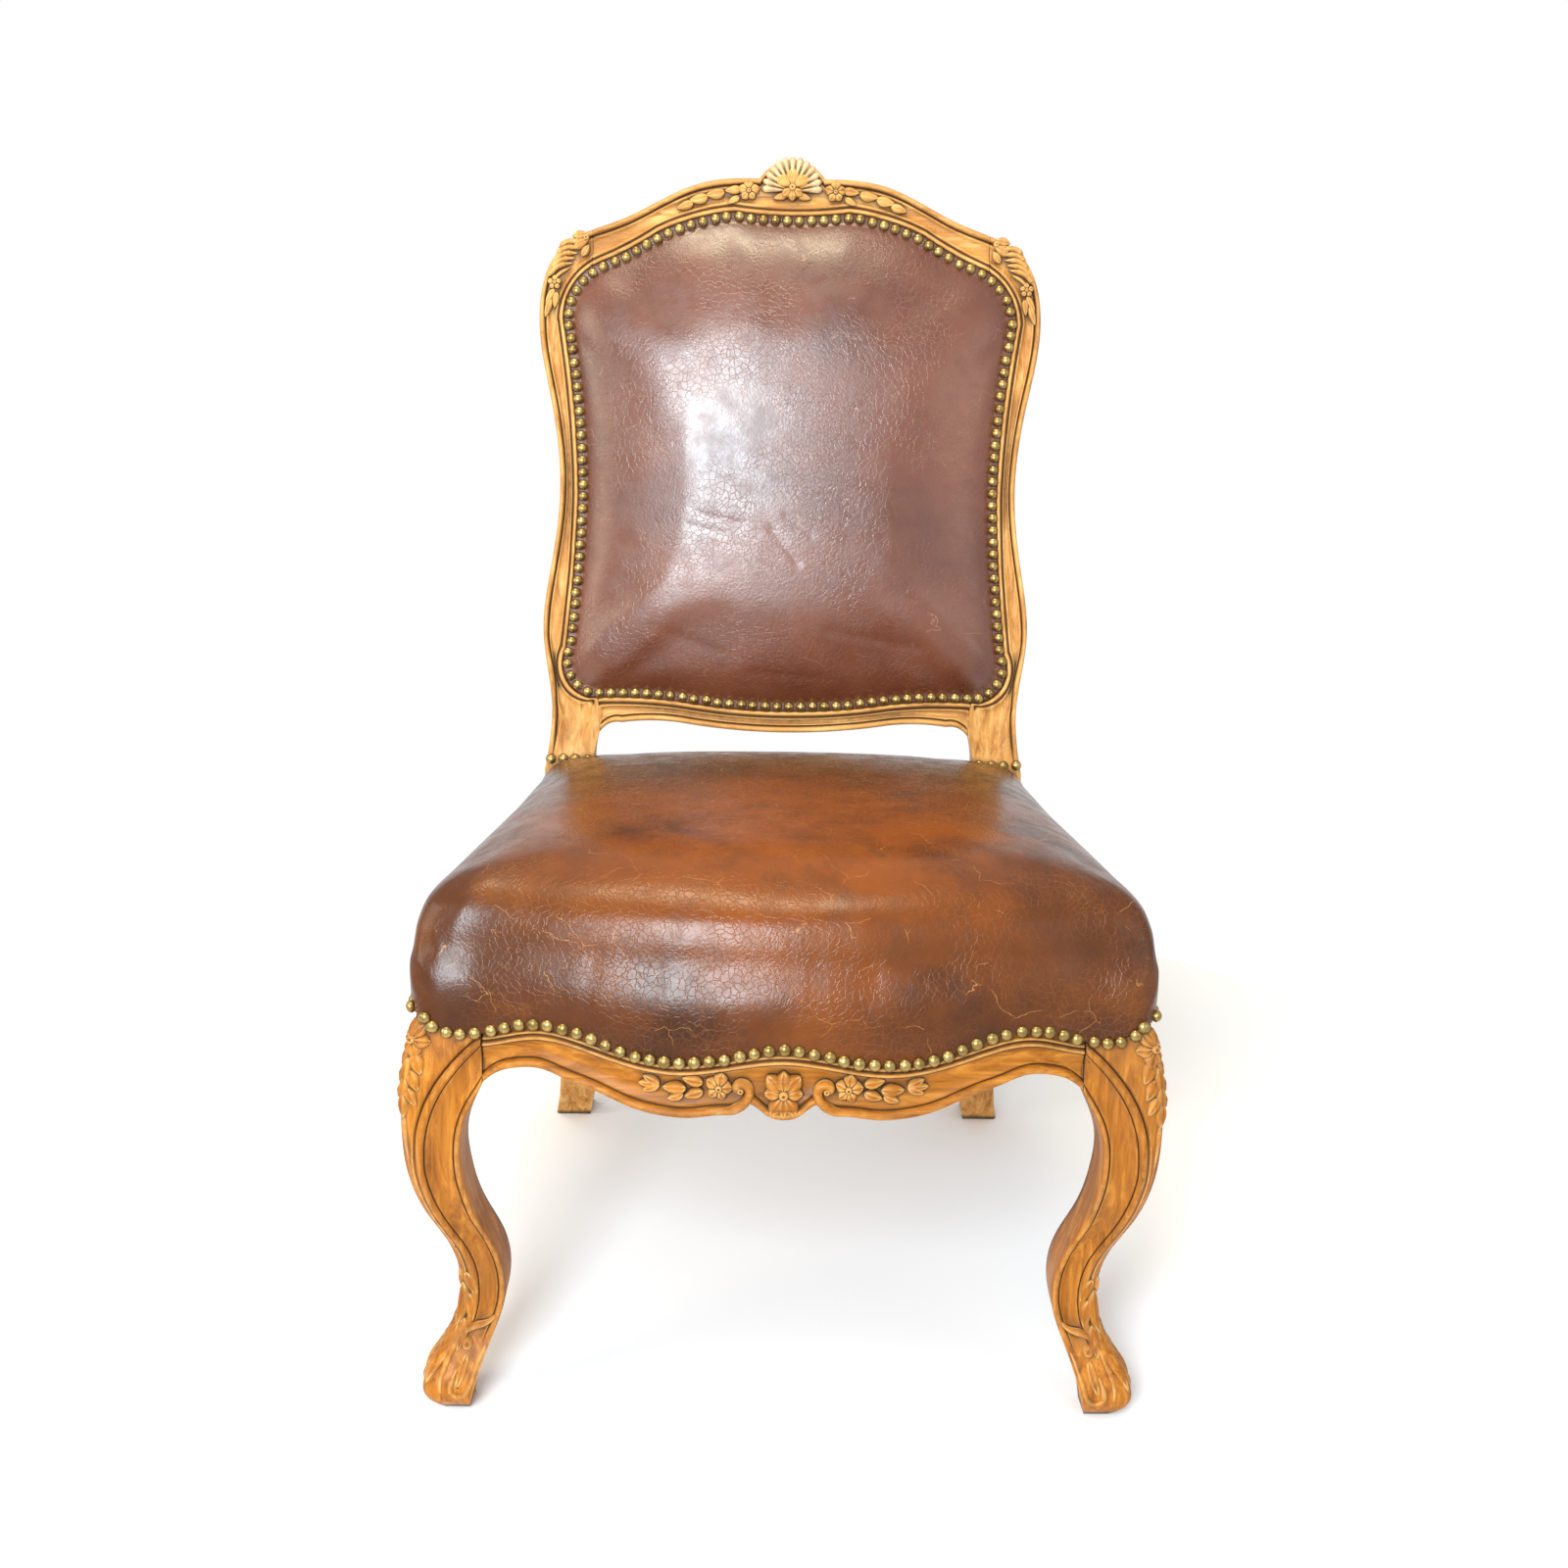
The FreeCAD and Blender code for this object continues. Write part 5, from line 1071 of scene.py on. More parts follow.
def carve_apron(shell):
    """Scrolls, flowers and leaves of the front rail, about the flower in its middle."""
    work = Carving(shell, on_front)
    scroll = ((58, 271.5), (46, 273), (36, 275), (28.5, 279.5), (24.5, 286), (26, 292.5), (31, 294),
              (33.5, 290.5), (31.5, 287))
    leaves = (((57, 294), 4, 15), ((57, 288), -24, 14), ((69, 289.5), -6, 17), ((71, 285.5), -28, 12))
    centre = (0, 287.5)
    for side in (-1, 1):
        work.cord([(side * x, z) for x, z in scroll], 3.6, 1.3, taper=(0.5, 0.1))
        work.button((side * 30.5, 289.5), 2.8, 3.6, lift=0.9)
        work.flower((side * 46, 291), 5, 9.4, 9.0, 3.8, start=80, lift=0.6, bigger=0.1, core=2.8)
        work.spray(side, leaves, 0.58, 3.4, curl=0.1)
        for turn, length in ((24, 13), (0, 15), (-24, 13)):
            work.leaf((side * 88, 291.5), facing(turn, side), length, 7.5, 3.4, lift=0.3)
        for turn, length, width in ((48, 16, 12), (2, 12, 10), (-60, 16, 11)):
            work.petal(centre, 1.5, facing(turn, side), length, width, 4.2, lift=1.2, point=1.2)
    work.leaf((0, 289), 90, 15, 11, 4.4, lift=1.6, point=1.2)
    work.leaf((0, 286), 270, 16, 10, 4.0, lift=1.0)
    work.button(centre, 3.8, 4.4, lift=2.6)


def carve_knee(shell):
    """Flower and leaves down the arris of the right-hand front leg."""
    work = Carving(shell, on_knee)
    work.flower((0, 310), 6, 13, 10.5, 4.4, start=60, lift=0.6, core=3.6)
    for side in (-1, 1):
        for z, length, width in ((302, 19, 11), (289, 18, 10), (276, 16, 9)):
            work.leaf((side * 2.5, z), -90 + side * 30, length, width, 3.8, lift=0.3)
    for z in (297, 284, 271):
        work.leaf((0, z), -90, 20, 9.5, 4.0, lift=0.9, point=0.85)
    work.cord([(0, 254), (0, 240), (0, 214)], 2.4, 1.1, taper=(0.2, 0.8))


def carve_foot(shell):
    """Leaf over the ankle and the scrolls of the foot."""
    work = Carving(shell, on_knee)
    for side in (-1, 1):
        for z, length in ((108, 22), (90, 24), (70, 24)):
            work.leaf((side * 3.5, z), -90 + side * 18, length, 10, 3.2, lift=0.2)
    work.leaf((0, 98), -90, 36, 12, 3.6, lift=0.6)
    work.leaf((0, 66), -90, 40, 13, 3.8, lift=0.5)
    rim = ((213, 76), (222, 67), (233, 64), (243, 58), (250, 46), (256, 30), (256, 18))
    curl = ((222, 54), (229, 40), (234, 26), (240, 17), (247, 19), (248, 28), (243, 38))
    for face in (on_foot, on_foot_side):
        scroll = Carving(shell, face)
        scroll.cord(rim, 2.6, 1.1)
        scroll.cord(curl, 2.3, 1.1, taper=(0.4, 0.2))
        scroll.button((237, 53), 4.6, 3.6, lift=0.2)
        scroll.leaf((237, 46), -72, 24, 9, 2.6, vein=0.5)


right_stile = stile()
carve_ear(right_stile)
piece("stile_right", right_stile, LIT_PALE_UP, ["rear_leg_right"])
piece("stile_left", right_stile.turned(), LIT_PALE_UP, ["rear_leg_left"])
crest_shell = Shell()
Carving(crest_shell, on_back).fan((0, 897), 13, 30.0, 92, 4.8, lift=1.3)
piece("crest_shell", crest_shell, RUBBED, ["crest_rail"])
crest_rail = crest()
carve_crest(crest_rail)
piece("crest", crest_rail, LIT_PALE_ACROSS, ["crest_rail"])
piece("back_sill", sill(), LIT_PALE_ACROSS, ["back_lower_rail"])
apron = front_rail()
carve_apron(apron)
piece("front_apron", apron, WOOD_ACROSS, ["front_rail"])
right_leg = front_leg()
carve_knee(right_leg)
carve_foot(right_leg)
piece("cabriole_right", right_leg, WOOD_UP, ["front_leg_right"])
piece("cabriole_left", right_leg.turned(), WOOD_UP, ["front_leg_left"])

# Frame pieces whose plain shape is right.
side_rails = ["side_rail_left", "side_rail_right"]
hidden_wood = ["rear_rail", "front_joint_pegs", "rear_joint_pegs", "back_joint_pegs"]
hidden_wood += [f"corner_block_{end}_{side}" for end in ("front", "rear") for side in ("left", "right")]
for nodes, material in ((side_rails, WOOD_DEEP), (hidden_wood, PLAIN_WOOD)):
    for node in nodes:
        materials = frame["nodes"][node].data.materials
        materials.clear()
        materials.append(material)


# Leather.

def swell(share):
    """Share of a crown's full rise at a share of its reach: steep at the edge, level at the end."""
    return (1 - (1 - share) ** 3) ** 0.6


def pillow(loop, step=4.0, rounds=4000):
    """Swelling of a skin over a loop in a plane, from 0 at the loop to 1 at the top, read by place."""
    low = loop.min(0) - 2 * step
    count = np.ceil((loop.max(0) + 2 * step - low) / step).astype(int) + 1
    a, b = np.meshgrid(*(low[k] + step * np.arange(count[k]) for k in (0, 1)), indexing="ij")
    inside = np.zeros(a.shape, bool)
    for (x0, y0), (x1, y1) in zip(loop, np.roll(loop, -1, axis=0)):
        if y0 != y1:
            inside ^= ((y0 > b) != (y1 > b)) & (a < x0 + (x1 - x0) * (b - y0) / (y1 - y0))
    rise = np.zeros(a.shape)
    for _ in range(rounds):
        rise[1:-1, 1:-1] = (rise[:-2, 1:-1] + rise[2:, 1:-1] + rise[1:-1, :-2] + rise[1:-1, 2:]) / 4 + 1
        rise[~inside] = 0
    rise /= rise.max()

    def read(x, y):
        u = np.clip((x - low[0]) / step, 0, count[0] - 1.001)
        v = np.clip((y - low[1]) / step, 0, count[1] - 1.001)
        i, j = u.astype(int), v.astype(int)
        u, v = u - i, v - j
        left = rise[i, j] * (1 - v) + rise[i, j + 1] * v
        right = rise[i + 1, j] * (1 - v) + rise[i + 1, j + 1] * v
        return left * (1 - u) + right * u

    return read


SEAT_LOW = 297.2
SEAT_EDGE = 385
SEAT_CROWN = 431
SEAT_REACH = 150
SEAT_BULGE = 7
SEAT_TILT = math.tan(math.radians(3.5))
SEAT_BACK = 199
SEAT_SIDE = 266.2
SEAT_CORNER = 16
SIDE_TAPER = -211
SIDE_REAR = 208.2
SKIRT_LEVEL = 321
HIDE = 1.8
CANVAS_TOP = 369.4
LIP_LEVEL = 325
POST_X = 170.7
POST_Y = 163.7


def seat_outline(z, inset, count=168):
    """Outer line of the seat in plan at a height, drawn in by an inset, and its middle."""
    front, leg_front = front_y(np.array((0, JOINT)), min(z, SKIRT_LEVEL)) - (0, 1.2)
    middle = (front + SEAT_BACK) / 2
    cut = SEAT_CORNER * (1 - math.sqrt(0.5))
    bow = arc((-JOINT, leg_front), (0, front), (JOINT, leg_front), 81)[40:]
    corner = arc((SEAT_SIDE - SEAT_CORNER, leg_front), (SEAT_SIDE - cut, leg_front + cut),
                 (SEAT_SIDE, leg_front + SEAT_CORNER), 15)
    right = np.concatenate([bow, corner, [(SEAT_SIDE, SIDE_TAPER), (SIDE_REAR, SEAT_BACK), (0, SEAT_BACK)]])
    loop = mirrored(right) * (1 - inset / SEAT_SIDE, 1)
    loop[:, 1] = middle + (loop[:, 1] - middle) * (1 - inset / ((SEAT_BACK - front) / 2))
    return evenly(loop, count + 1)[:-1], middle


def tilted(z, y, middle):
    """Height on the seat, which falls a little towards its back, more so at its top."""
    return z - SEAT_TILT * (z - SEAT_LOW) / (SEAT_CROWN - SEAT_LOW) * (y - middle)


def seat_ring(z, bulge, drawn_in=0):
    """Ring round the seat at a height, swelled out or drawn in."""
    loop, middle = seat_outline(z, drawn_in - bulge)
    loop[:, 1] = np.minimum(loop[:, 1], SEAT_BACK + HIDE - drawn_in)
    return np.column_stack([loop, tilted(z, loop[:, 1], middle)])


def lower_edge(loop):
    """Height of the leather's lower edge round the seat: waved in front and level elsewhere."""
    front = wave(np.clip(loop[:, 0], WAVE[0][0], WAVE[-1][0]), NAIL_EDGE)
    share = ease(loop[:, 1], RAIL_FACE, RAIL_FACE + 12)
    return front * (1 - share) + (WAVE[0][1] - NAIL_EDGE) * share


SEAT_PILLOW = pillow(seat_outline(SEAT_EDGE, -SEAT_BULGE)[0])


def seat_crown(points):
    """Points of the seat moved up onto its domed top."""
    x, y = points[..., 0], points[..., 1]
    _, middle = seat_outline(SEAT_EDGE, 0)
    height = SEAT_EDGE + (SEAT_CROWN - SEAT_EDGE) * SEAT_PILLOW(x, y) ** 0.34
    return np.stack([x, y, tilted(height, y, middle)], -1)


def seat_rings():
    """Rings of the stuffed seat: a lip inside, the skirt and the crown."""
    levels = 11
    stack = []
    for share in np.linspace(0, 1, levels + 1):
        bulge = HIDE + (SEAT_BULGE - HIDE) * share ** 2 * (3 - 2 * share)
        stack.append(seat_ring(SEAT_LOW + (SEAT_EDGE - SEAT_LOW) * share, bulge))
    stack = np.array(stack)
    edge = lower_edge(stack[2])
    index = np.arange(len(edge))
    rings = []
    for share in np.linspace(0, 1, 15):
        z = edge + (SEAT_EDGE - edge) * share
        k = np.clip((z - SEAT_LOW) / (SEAT_EDGE - SEAT_LOW) * levels, 0, levels - 0.001)
        low = k.astype(int)
        blend = (k - low)[:, None]
        rings.append(stack[low, index] * (1 - blend) + stack[low + 1, index] * blend)
    for share in np.linspace(0, 1, 23)[1:] ** 1.35:
        height = SEAT_EDGE + (SEAT_CROWN - SEAT_EDGE) * swell(share)
        ring = seat_ring(height, SEAT_BULGE, SEAT_REACH * share)
        smooth = ease(SEAT_REACH * share, 10, 50)
        ring[:, 2] = ring[:, 2] * (1 - smooth) + seat_crown(ring)[:, 2] * smooth
        rings.append(ring)
    hem = rings[0]
    away = hem[:, :2] - hem[:, :2].mean(0)
    inside = hem[:, :2] - away * (1.6 / np.linalg.norm(away, axis=1)[:, None])
    lip = [np.column_stack([inside, np.full(len(hem), z)])
           for z in (CANVAS_TOP, (CANVAS_TOP + LIP_LEVEL) / 2)]
    return np.array(lip + [np.column_stack([inside, hem[:, 2] + 0.4])] + rings)


def clear_posts(points):
    """Moves points out of the rear posts' corners."""
    into_x = np.abs(points[:, 0]) - POST_X
    into_y = points[:, 1] - POST_Y
    inside = (into_x > 0) & (into_y > 0)
    to_side = inside & (into_x < into_y)
    points[to_side, 0] = np.sign(points[to_side, 0]) * POST_X
    points[inside & ~to_side, 1] = POST_Y


def seat():
    """The stuffed seat, closed underneath."""
    rings = seat_rings()
    shell = Shell()
    shell.grid(rings, wrap=True)
    shell.fill(rings[-1], seat_crown)
    shell.fill(rings[0], flip=True)
    for points in shell.verts:
        clear_posts(points)
    return shell


def lean_front(points):
    """Leans the seat's front face back, so that it rolls over into the crown."""
    _, y, z = points.T
    points[:, 1] += 15 * ease(z, 326, 392) * ease(-y, 180, 262)
    return points


# Creases of the seat's front: place across, lean, depth and width. Pleats of its corners: shift and depth.
FRONT_CREASES = ((-92, 0.10, 0.6, 3.5), (-58, -0.12, 0.6, 3.0), (-140, 0.2, 0.5, 4.0), (60, 0.1, 0.8, 3.5),
                 (120, -0.15, 0.9, 4.0), (20, 0.05, 0.5, 3.0))
CORNER_PLEATS = ((0.0, 3.2), (9.0, 1.6), (-9.0, 1.4))


def crease_seat(points):
    """A worn dip, creases on the front face and pleats at the front corners."""
    x, y, z = points.T
    points[:, 2] -= 2.5 * np.exp(-((x - 10) / 130) ** 2 - ((y + 60) / 120) ** 2) * ease(z, 380, 400)
    front = ease(-y, 225, 250) * ease(z, 318, 330)
    for place, lean, depth, wide in FRONT_CREASES:
        line = x - place - lean * (z - 350)
        points[:, 1] += depth * np.exp(-(line / wide) ** 2) * front * ease(400 - z, 0, 25)
    for side in (-1, 1):
        corner = np.hypot(side * x - 252, y + 246)
        for shift, depth in CORNER_PLEATS:
            line = (side * x + y - LEG_SET - shift) / math.sqrt(2)
            pleat = depth * np.exp(-(line / 2.2) ** 2) * ease(60 - corner, 0, 35) * ease(z, 322, 345)
            points[:, 0] -= side * pleat * 0.7
            points[:, 1] += pleat * 0.7
            points[:, 2] -= pleat * 0.5 * ease(z, 385, 400)
    return points


def panel_loop(inset):
    """The back's nail line all the way round, drawn in by an inset."""
    half, _ = nail_line(inset)
    return mirrored(half)[:-1]


def back_rings(depths):
    """Rings of the back's panel: each an inset from the nails and a depth behind the frame's face."""
    rings = []
    for inset, depth in depths:
        loop = panel_loop(inset)
        x, z = evenly(np.concatenate([loop, loop[:1]]), 161)[:-1].T
        rings.append(np.column_stack([x, back_y(z, depth), z]))
    return np.array(rings)


BACK_INSET = 5
BACK_REACH = 140
BACK_RISE = 26.0
BACK_START = 1.0
BACK_REAR = 3.4
BACK_PILLOW = pillow(panel_loop(BACK_INSET))
# Edge of the front hide under its nails: inset and depth.
BACK_HEM = ((0.3 - NAIL_EDGE, BACK_REAR), (-NAIL_EDGE, 3.0), (0.2 - NAIL_EDGE, 2.5), (-3.5, 2.2), (-1.5, 1.8),
            (0.5, 1.5), (2.5, 1.1), (4.5, 0.5))
OUTSIDE_HEM = ((-11.3, 0.1), (-11.6, 1.0), (-11.0, 1.6), (-7, 1.7), (-2, 1.6), (4, 1.3), (15, 1.0), (40, 0.6),
               (80, 0.3))


def back_crown(points):
    """Points of the back's panel moved out onto its domed front."""
    x, z = points[..., 0], points[..., 2]
    return np.stack([x, back_y(z, BACK_START - BACK_RISE * BACK_PILLOW(x, z) ** 0.45), z], -1)


def back_behind(points):
    """Points of the back's panel moved onto its flat rear."""
    x, z = points[..., 0], points[..., 2]
    return np.stack([x, back_y(z, BACK_REAR), z], -1)


def back_panel():
    """Stuffed leather of the back, closed behind."""
    shares = 0.68 * np.linspace(0, 1, 24)[1:] ** 1.3
    depths = list(BACK_HEM)
    depths += [(BACK_INSET + BACK_REACH * s, BACK_START - BACK_RISE * swell(s)) for s in shares]
    rings = back_rings(depths)
    smooth = ease([inset for inset, _ in depths], 12, 50)[:, None, None]
    rings = rings * (1 - smooth) + back_crown(rings) * smooth
    shell = Shell()
    shell.grid(rings, wrap=True)
    shell.fill(rings[-1], back_crown)
    shell.fill(rings[0], back_behind, flip=True)
    return shell


# Creases of the old hide: start, end, depth and width.
BACK_CREASES = (((-80, 622), (-40, 614), 0.45, 3.0), ((-88, 612), (-58, 606), 0.35, 2.5),
                ((-15, 610), (10, 580), 0.4, 3.5), ((-2, 622), (22, 604), 0.3, 2.5),
                ((-120, 520), (-60, 500), 0.35, 5.0), ((40, 520), (120, 505), 0.35, 5.0),
                ((-30, 480), (40, 476), 0.4, 4.0))


def crease_back(points):
    """Sinks the creases of the back's hide."""
    plan = points[:, (0, 2)]
    out = np.zeros(len(points))
    for start, end, depth, wide in BACK_CREASES:
        way = np.subtract(end, start)
        run = np.clip((plan - start) @ way / (way @ way), 0, 1)
        gap = np.linalg.norm(plan - start - run[:, None] * way, axis=1)
        out -= depth * np.exp(-(gap / wide) ** 2)
    return points + np.outer(out, NORMAL)


def outside_back():
    """Flat leather on the back of the chair, a little slack between its nails."""
    rings = back_rings([(inset, THICK + depth) for inset, depth in OUTSIDE_HEM])
    shell = Shell()
    shell.grid(rings, wrap=True, flip=True)
    shell.fill(rings[-1], flip=True)
    return shell


def evened(mesh, values, rounds):
    """Spreads values at a mesh's points among their neighbours, the nearest most."""
    a, b = ends_of(mesh)
    place = points_of(mesh) / MM
    pull = 1 / np.maximum(((place[a] - place[b]) ** 2).sum(1), 1.0)
    near = np.bincount(a, pull, len(values)) + np.bincount(b, pull, len(values))
    near = np.maximum(near, 1e-6)[:, None]
    pull = pull[:, None]
    for _ in range(rounds):
        total = np.zeros_like(values)
        np.add.at(total, a, values[b] * pull)
        np.add.at(total, b, values[a] * pull)
        values = (values + total / near) / 2
    return values


def stuffed(obj, held, pressure=4.0, cap=6.0):
    """Lets the hide settle over its stuffing by a short cloth simulation, held where it is nailed."""
    mesh = obj.data
    rest = points_of(mesh)
    group = obj.vertex_groups.new(name="held")
    group.add(np.flatnonzero(held(rest / MM)).tolist(), 1.0, "REPLACE")
    cloth = obj.modifiers.new("settle", "CLOTH")
    cloth.settings.vertex_group_mass = "held"
    cloth.settings.quality = 4
    cloth.settings.mass = 0.4
    cloth.settings.tension_stiffness = 12
    cloth.settings.compression_stiffness = 12
    cloth.settings.bending_stiffness = 2.0
    cloth.settings.use_pressure = True
    cloth.settings.uniform_pressure_force = pressure
    cloth.settings.effector_weights.gravity = 0
    scene = bpy.context.scene
    for step in range(1, 21):
        scene.frame_set(step)
    settled = points_of(obj.evaluated_get(bpy.context.evaluated_depsgraph_get()).data)
    move = evened(mesh, settled - rest, 10)
    far = np.linalg.norm(move, axis=1)[:, None]
    move *= np.minimum(1, cap * MM / np.maximum(far, 1e-9))
    obj.modifiers.remove(cloth)
    obj.vertex_groups.remove(group)
    scene.frame_set(1)
    set_points(mesh, rest + move)


def relaxed(obj, held, rounds, along=None):
    """Evens out a piece between its neighbours except where it is held, if need be along one way only."""
    place = points_of(obj.data) / MM
    free = ~held(place)
    for _ in range(rounds):
        move = evened(obj.data, place, 1) - place
        if along is not None:
            move = np.outer(move @ along, along)
        place[free] += move[free]
    set_points(obj.data, place * MM)


def subdivided(obj):
    """Divides every face of a piece once, smoothly."""
    smooth = obj.modifiers.new("smooth", "SUBSURF")
    smooth.levels = smooth.render_levels = 1
    made = bpy.data.meshes.new_from_object(obj.evaluated_get(bpy.context.evaluated_depsgraph_get()))
    obj.modifiers.remove(smooth)
    obj.data = made
    made.shade_smooth()


def reshape(obj, change):
    """Applies a change in millimetres to every point of a piece."""
    set_points(obj.data, change(points_of(obj.data) / MM) * MM)


def seat_held(points):
    """Where the seat's hide is nailed, lies underneath or meets the posts."""
    return (points[:, 2] < np.maximum(lower_edge(points) + 9, 369)) | (points[:, 1] > 150)


def back_held(points):
    """Where the back's hide lies under its nails or behind."""
    return (points[:, 1] - back_y(points[:, 2])) * math.cos(LEAN) > -1.5


seat_cover = piece("seat_cushion", seat(), SEAT_HIDE,
                   ["seat_leather", "seat_stuffing"], wear_and_shade=False)
back_cover = piece("back_cushion", back_panel(), BACK_HIDE,
                   ["back_leather_front", "back_stuffing", "back_hessian", "back_webbing_upright",
                    "back_webbing_across"], wear_and_shade=False)
outside = piece("outside_back_hide", outside_back(), BACK_HIDE,
                ["back_leather_outside"], wear_and_shade=False)
stuffed(seat_cover, seat_held)
stuffed(back_cover, back_held)
reshape(seat_cover, lean_front)
relaxed(seat_cover, seat_held, 8)
relaxed(back_cover, back_held, 12, NORMAL)
subdivided(seat_cover)
subdivided(back_cover)
reshape(seat_cover, crease_seat)
reshape(back_cover, crease_back)


# Webbing and hessian under the seat.

def islands(node):
    """Points of each loose solid of a node, in millimetres."""
    mesh = frame["nodes"][node].data
    place = points_of(mesh)
    _, same = np.unique(np.round(place * 1e5).astype(np.int64), axis=0, return_inverse=True)
    same = same.ravel()
    parent = np.arange(same.max() + 1)

    def root(i):
        while parent[i] != i:
            parent[i] = parent[parent[i]]
            i = parent[i]
        return i

    for edge in mesh.edges:
        a, b = (root(same[v]) for v in edge.vertices)
        if a != b:
            parent[b] = a
    roots = np.array([root(i) for i in same])
    return [place[roots == key] / MM for key in np.unique(roots)]


WEB_LEVEL = 367.0
WEB_HALF = 0.7
WEB_WAVE = 0.75
WEB_PITCH = 148.8
WEB_CUTS = (90, 12)


def webbing(name, node, along, across_it, phase):
    """Strips of webbing woven over and under the strips that cross them."""
    shell = Shell()
    for solid in islands(node):
        low, high = solid.min(0), solid.max(0)
        rows = np.linspace(low[along] + 1, high[along] - 1, WEB_CUTS[0])
        columns = np.linspace(low[across_it] + 0.5, high[across_it] - 0.5, WEB_CUTS[1])
        points = np.empty((WEB_CUTS[0], 2 * WEB_CUTS[1], 3))
        points[..., along] = rows[:, None]
        points[..., across_it] = np.concatenate([columns, columns[::-1]])
        lift = WEB_WAVE * np.sin(2 * math.pi * (rows - rows[0]) / WEB_PITCH + phase)
        points[..., 2] = WEB_LEVEL + lift[:, None] + np.repeat((WEB_HALF, -WEB_HALF), WEB_CUTS[1])
        shell.bar(points)
    piece(name, shell, JUTE, [node], join=0, wear_and_shade=False)


webbing("webbing_lengthwise", "seat_webbing_lengthwise", 1, 0, 0.0)
webbing("webbing_crosswise", "seat_webbing_crosswise", 0, 1, math.pi)

CANVAS_LEVEL = 368.8


def hessian():
    """Cloth over the webbing, cut round the posts."""
    loop, middle = seat_outline(315, 14)
    ring = np.column_stack([loop, np.full(len(loop), CANVAS_LEVEL)])
    clear_posts(ring)
    hub = np.array((0, middle, CANVAS_LEVEL))
    shell = Shell()
    shell.grid(np.array([hub + (ring - hub) * share for share in 0.985 * np.linspace(1, 0, 14)]), wrap=True)
    return shell


canvas = piece("seat_canvas", hessian(), HESSIAN, ["seat_hessian"], wear_and_shade=False)


# Nails.

NAIL_RADIUS = 4.75
NAIL_RISE = 3.7


def nail_dome(radius, rise):
    """A domed head, standing on the origin along +Z, with a thin rolled rim."""
    profile = [(radius * math.cos(a), rise * math.sin(a)) for a in np.linspace(0, math.pi / 2, 7)]
    profile = [(radius * 0.8, -2.2), (radius * 0.985, -0.35)] + profile[:-1] + [(0.0, rise)]
    turn = np.linspace(0, 2 * math.pi, 16, endpoint=False)
    return np.array([[(r * math.cos(a), r * math.sin(a), h) for a in turn] for r, h in profile])


def unit(vector):
    """A vector of length 1 in the same direction."""
    return vector / np.linalg.norm(vector)


def nails(node, outwards):
    """New heads in the places of a node's plain ones, each a little askew."""
    shell = Shell()
    for solid in islands(node):
        centre = solid.mean(0)
        _, ways = np.linalg.eigh(np.cov((solid - centre).T))
        way = ways[:, 0] * (-1 if ways[:, 0] @ outwards(centre) < 0 else 1)
        base = centre + way * ((solid - centre) @ way).min()
        side = unit(np.cross(way, (0, 0, 1.0) if abs(way[2]) < 0.9 else (1.0, 0, 0)))
        other = np.cross(way, side)
        tilt = RNG.normal(0, 0.05, 2)
        axis = unit(way + side * tilt[0] + other * tilt[1])
        side = unit(np.cross(axis, other))
        other = np.cross(axis, side)
        head = nail_dome(NAIL_RADIUS * RNG.uniform(0.96, 1.02), NAIL_RISE * RNG.uniform(0.92, 1.05))
        shift = RNG.normal(0, 0.25, 2)
        place = base + side * shift[0] + other * shift[1]
        shell.grid(place + head @ np.array((side, other, axis)), wrap=True)
    piece(node + "_heads", shell, BRASS, [node], join=0.005)


def from_seat(place):
    """Way out of the seat's sides, from a line up its middle."""
    return place - (0, -50, place[2])


def to_front(_):
    """Way out of the back's face."""
    return NORMAL


def to_rear(_):
    """Way out behind the back."""
    return -NORMAL


for nail_node in ("seat_nails_front", "seat_nails_left", "seat_nails_right", "seat_nails_rear"):
    nails(nail_node, from_seat)
for nail_node in ("seat_nails_posts", "back_nails_front"):
    nails(nail_node, to_front)
nails("back_nails_outside", to_rear)


# Floor, light and camera, in metres.

FLOOR_RADIUS = 0.85
SKY_LIGHT = 0.66


def floor():
    """Pale disc under the chair."""
    m = Finish("pale_floor")
    material = m.finish((0.95, 0.95, 0.95), 0.9, Specular_IOR_Level=0.1)
    turn = np.linspace(0, 2 * math.pi, 96, endpoint=False)
    rim = [(FLOOR_RADIUS * math.cos(a), FLOOR_RADIUS * math.sin(a), 0) for a in turn]
    mesh = bpy.data.meshes.new("floor")
    mesh.from_pydata(rim, [], [tuple(range(len(rim)))])
    mesh.materials.append(material)
    obj = bpy.data.objects.new("floor", mesh)
    bpy.context.scene.collection.objects.link(obj)


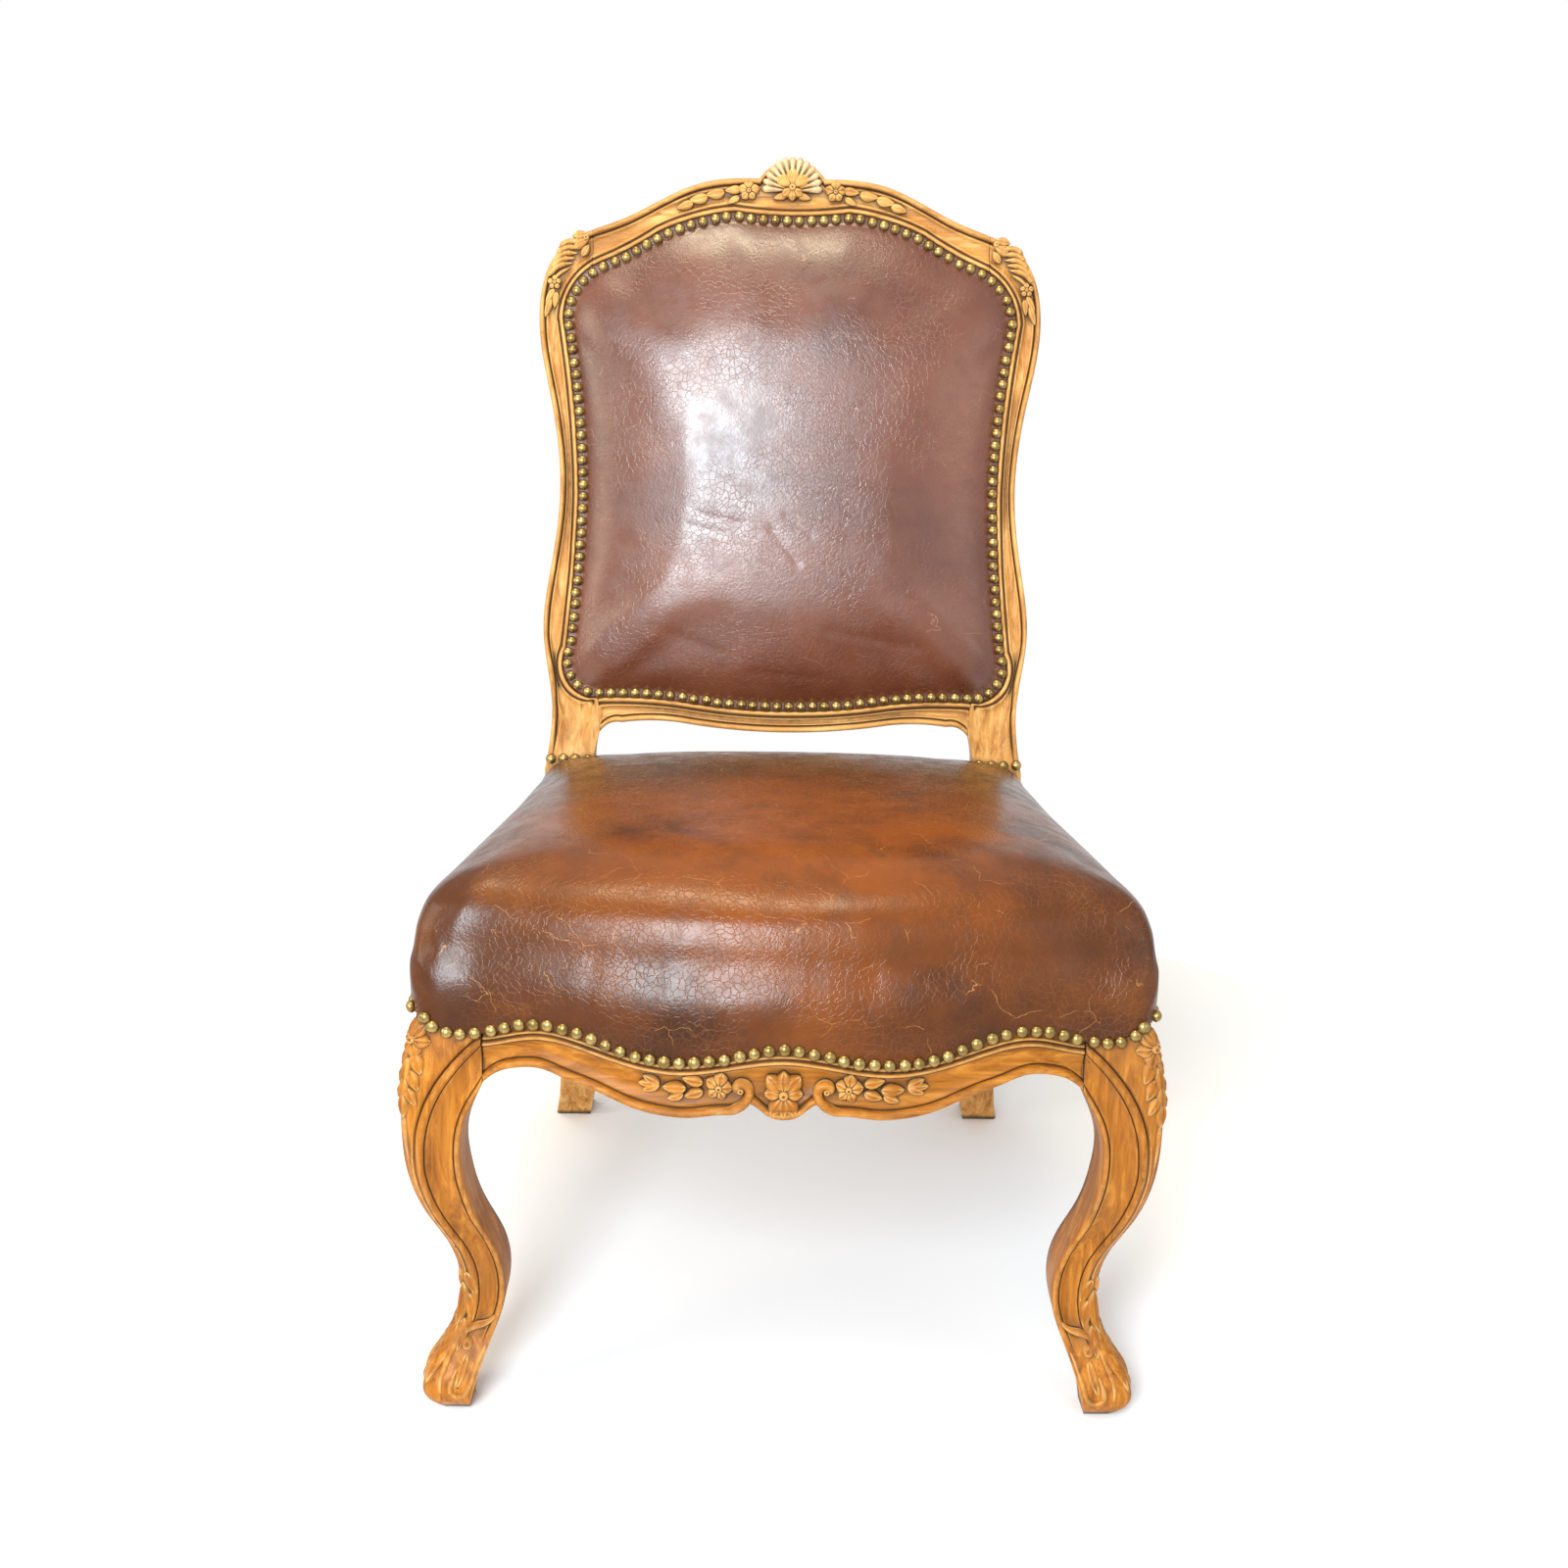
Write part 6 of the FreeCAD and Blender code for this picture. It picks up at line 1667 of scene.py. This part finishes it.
def world():
    """Even white light, dimmer on the chair than in the background and in reflections."""
    m = Nodes(bpy.data.worlds.new("studio"))
    bpy.context.scene.world = m.owner
    path = m.add("ShaderNodeLightPath", {}).outputs
    seen = m.math("MAXIMUM", path["Is Glossy Ray"], path["Is Transmission Ray"])
    seen = m.math("MAXIMUM", path["Is Camera Ray"], seen)
    level = m.add("ShaderNodeMapRange", {"Value": seen, "To Min": SKY_LIGHT, "To Max": 1.0}).outputs["Result"]
    background = m.tree.nodes["Background"]
    m.link(level, background.inputs["Strength"])
    m.link((1, 1, 1), background.inputs["Color"])


def camera():
    """Camera at the photograph's viewing angle."""
    yaw, pitch, roll = math.radians(0.54), math.radians(16.65), math.radians(1.0)
    lens = bpy.data.cameras.new("camera")
    lens.sensor_width = 36
    lens.lens = 46.13
    lens.clip_start = 0.05
    obj = bpy.data.objects.new("camera", lens)
    obj.location = (-0.01576, -1.59466, 0.90433)
    obj.rotation_euler = (Matrix.Rotation(-yaw, 3, "Z") @ Matrix.Rotation(math.pi / 2 - pitch, 3, "X")
                          @ Matrix.Rotation(roll, 3, "Z")).to_euler()
    bpy.context.scene.collection.objects.link(obj)
    bpy.context.scene.camera = obj


def area_light(name, place, aim, size, power, colour):
    """Soft rectangular lamp that faces a point."""
    lamp = bpy.data.lights.new(name, "AREA")
    lamp.shape = "RECTANGLE"
    lamp.size, lamp.size_y = size
    lamp.energy = power
    lamp.color = colour
    obj = bpy.data.objects.new(name, lamp)
    obj.location = place
    obj.rotation_euler = (Vector(aim) - Vector(place)).to_track_quat("-Z", "Y").to_euler()
    bpy.context.scene.collection.objects.link(obj)


floor()
world()
camera()
area_light("window", (-0.5, -2.3, 1.42), (0, 0.1, 0.62), (0.8, 1.15), 84, (0.82, 0.93, 1.0))
area_light("ceiling", (-0.2, -0.4, 2.4), (0, -0.1, 0.4), (1.1, 0.42), 24, (1.0, 0.88, 0.62))
area_light("left", (-1.9, -1.0, 1.3), (0, 0, 0.5), (0.9, 1.2), 16, (1.0, 0.90, 0.72))
area_light("right", (1.9, -1.6, 1.3), (0, 0, 0.5), (1.2, 1.2), 6, (1.0, 0.95, 0.88))

bpy.context.scene.view_settings.view_transform = "Standard"
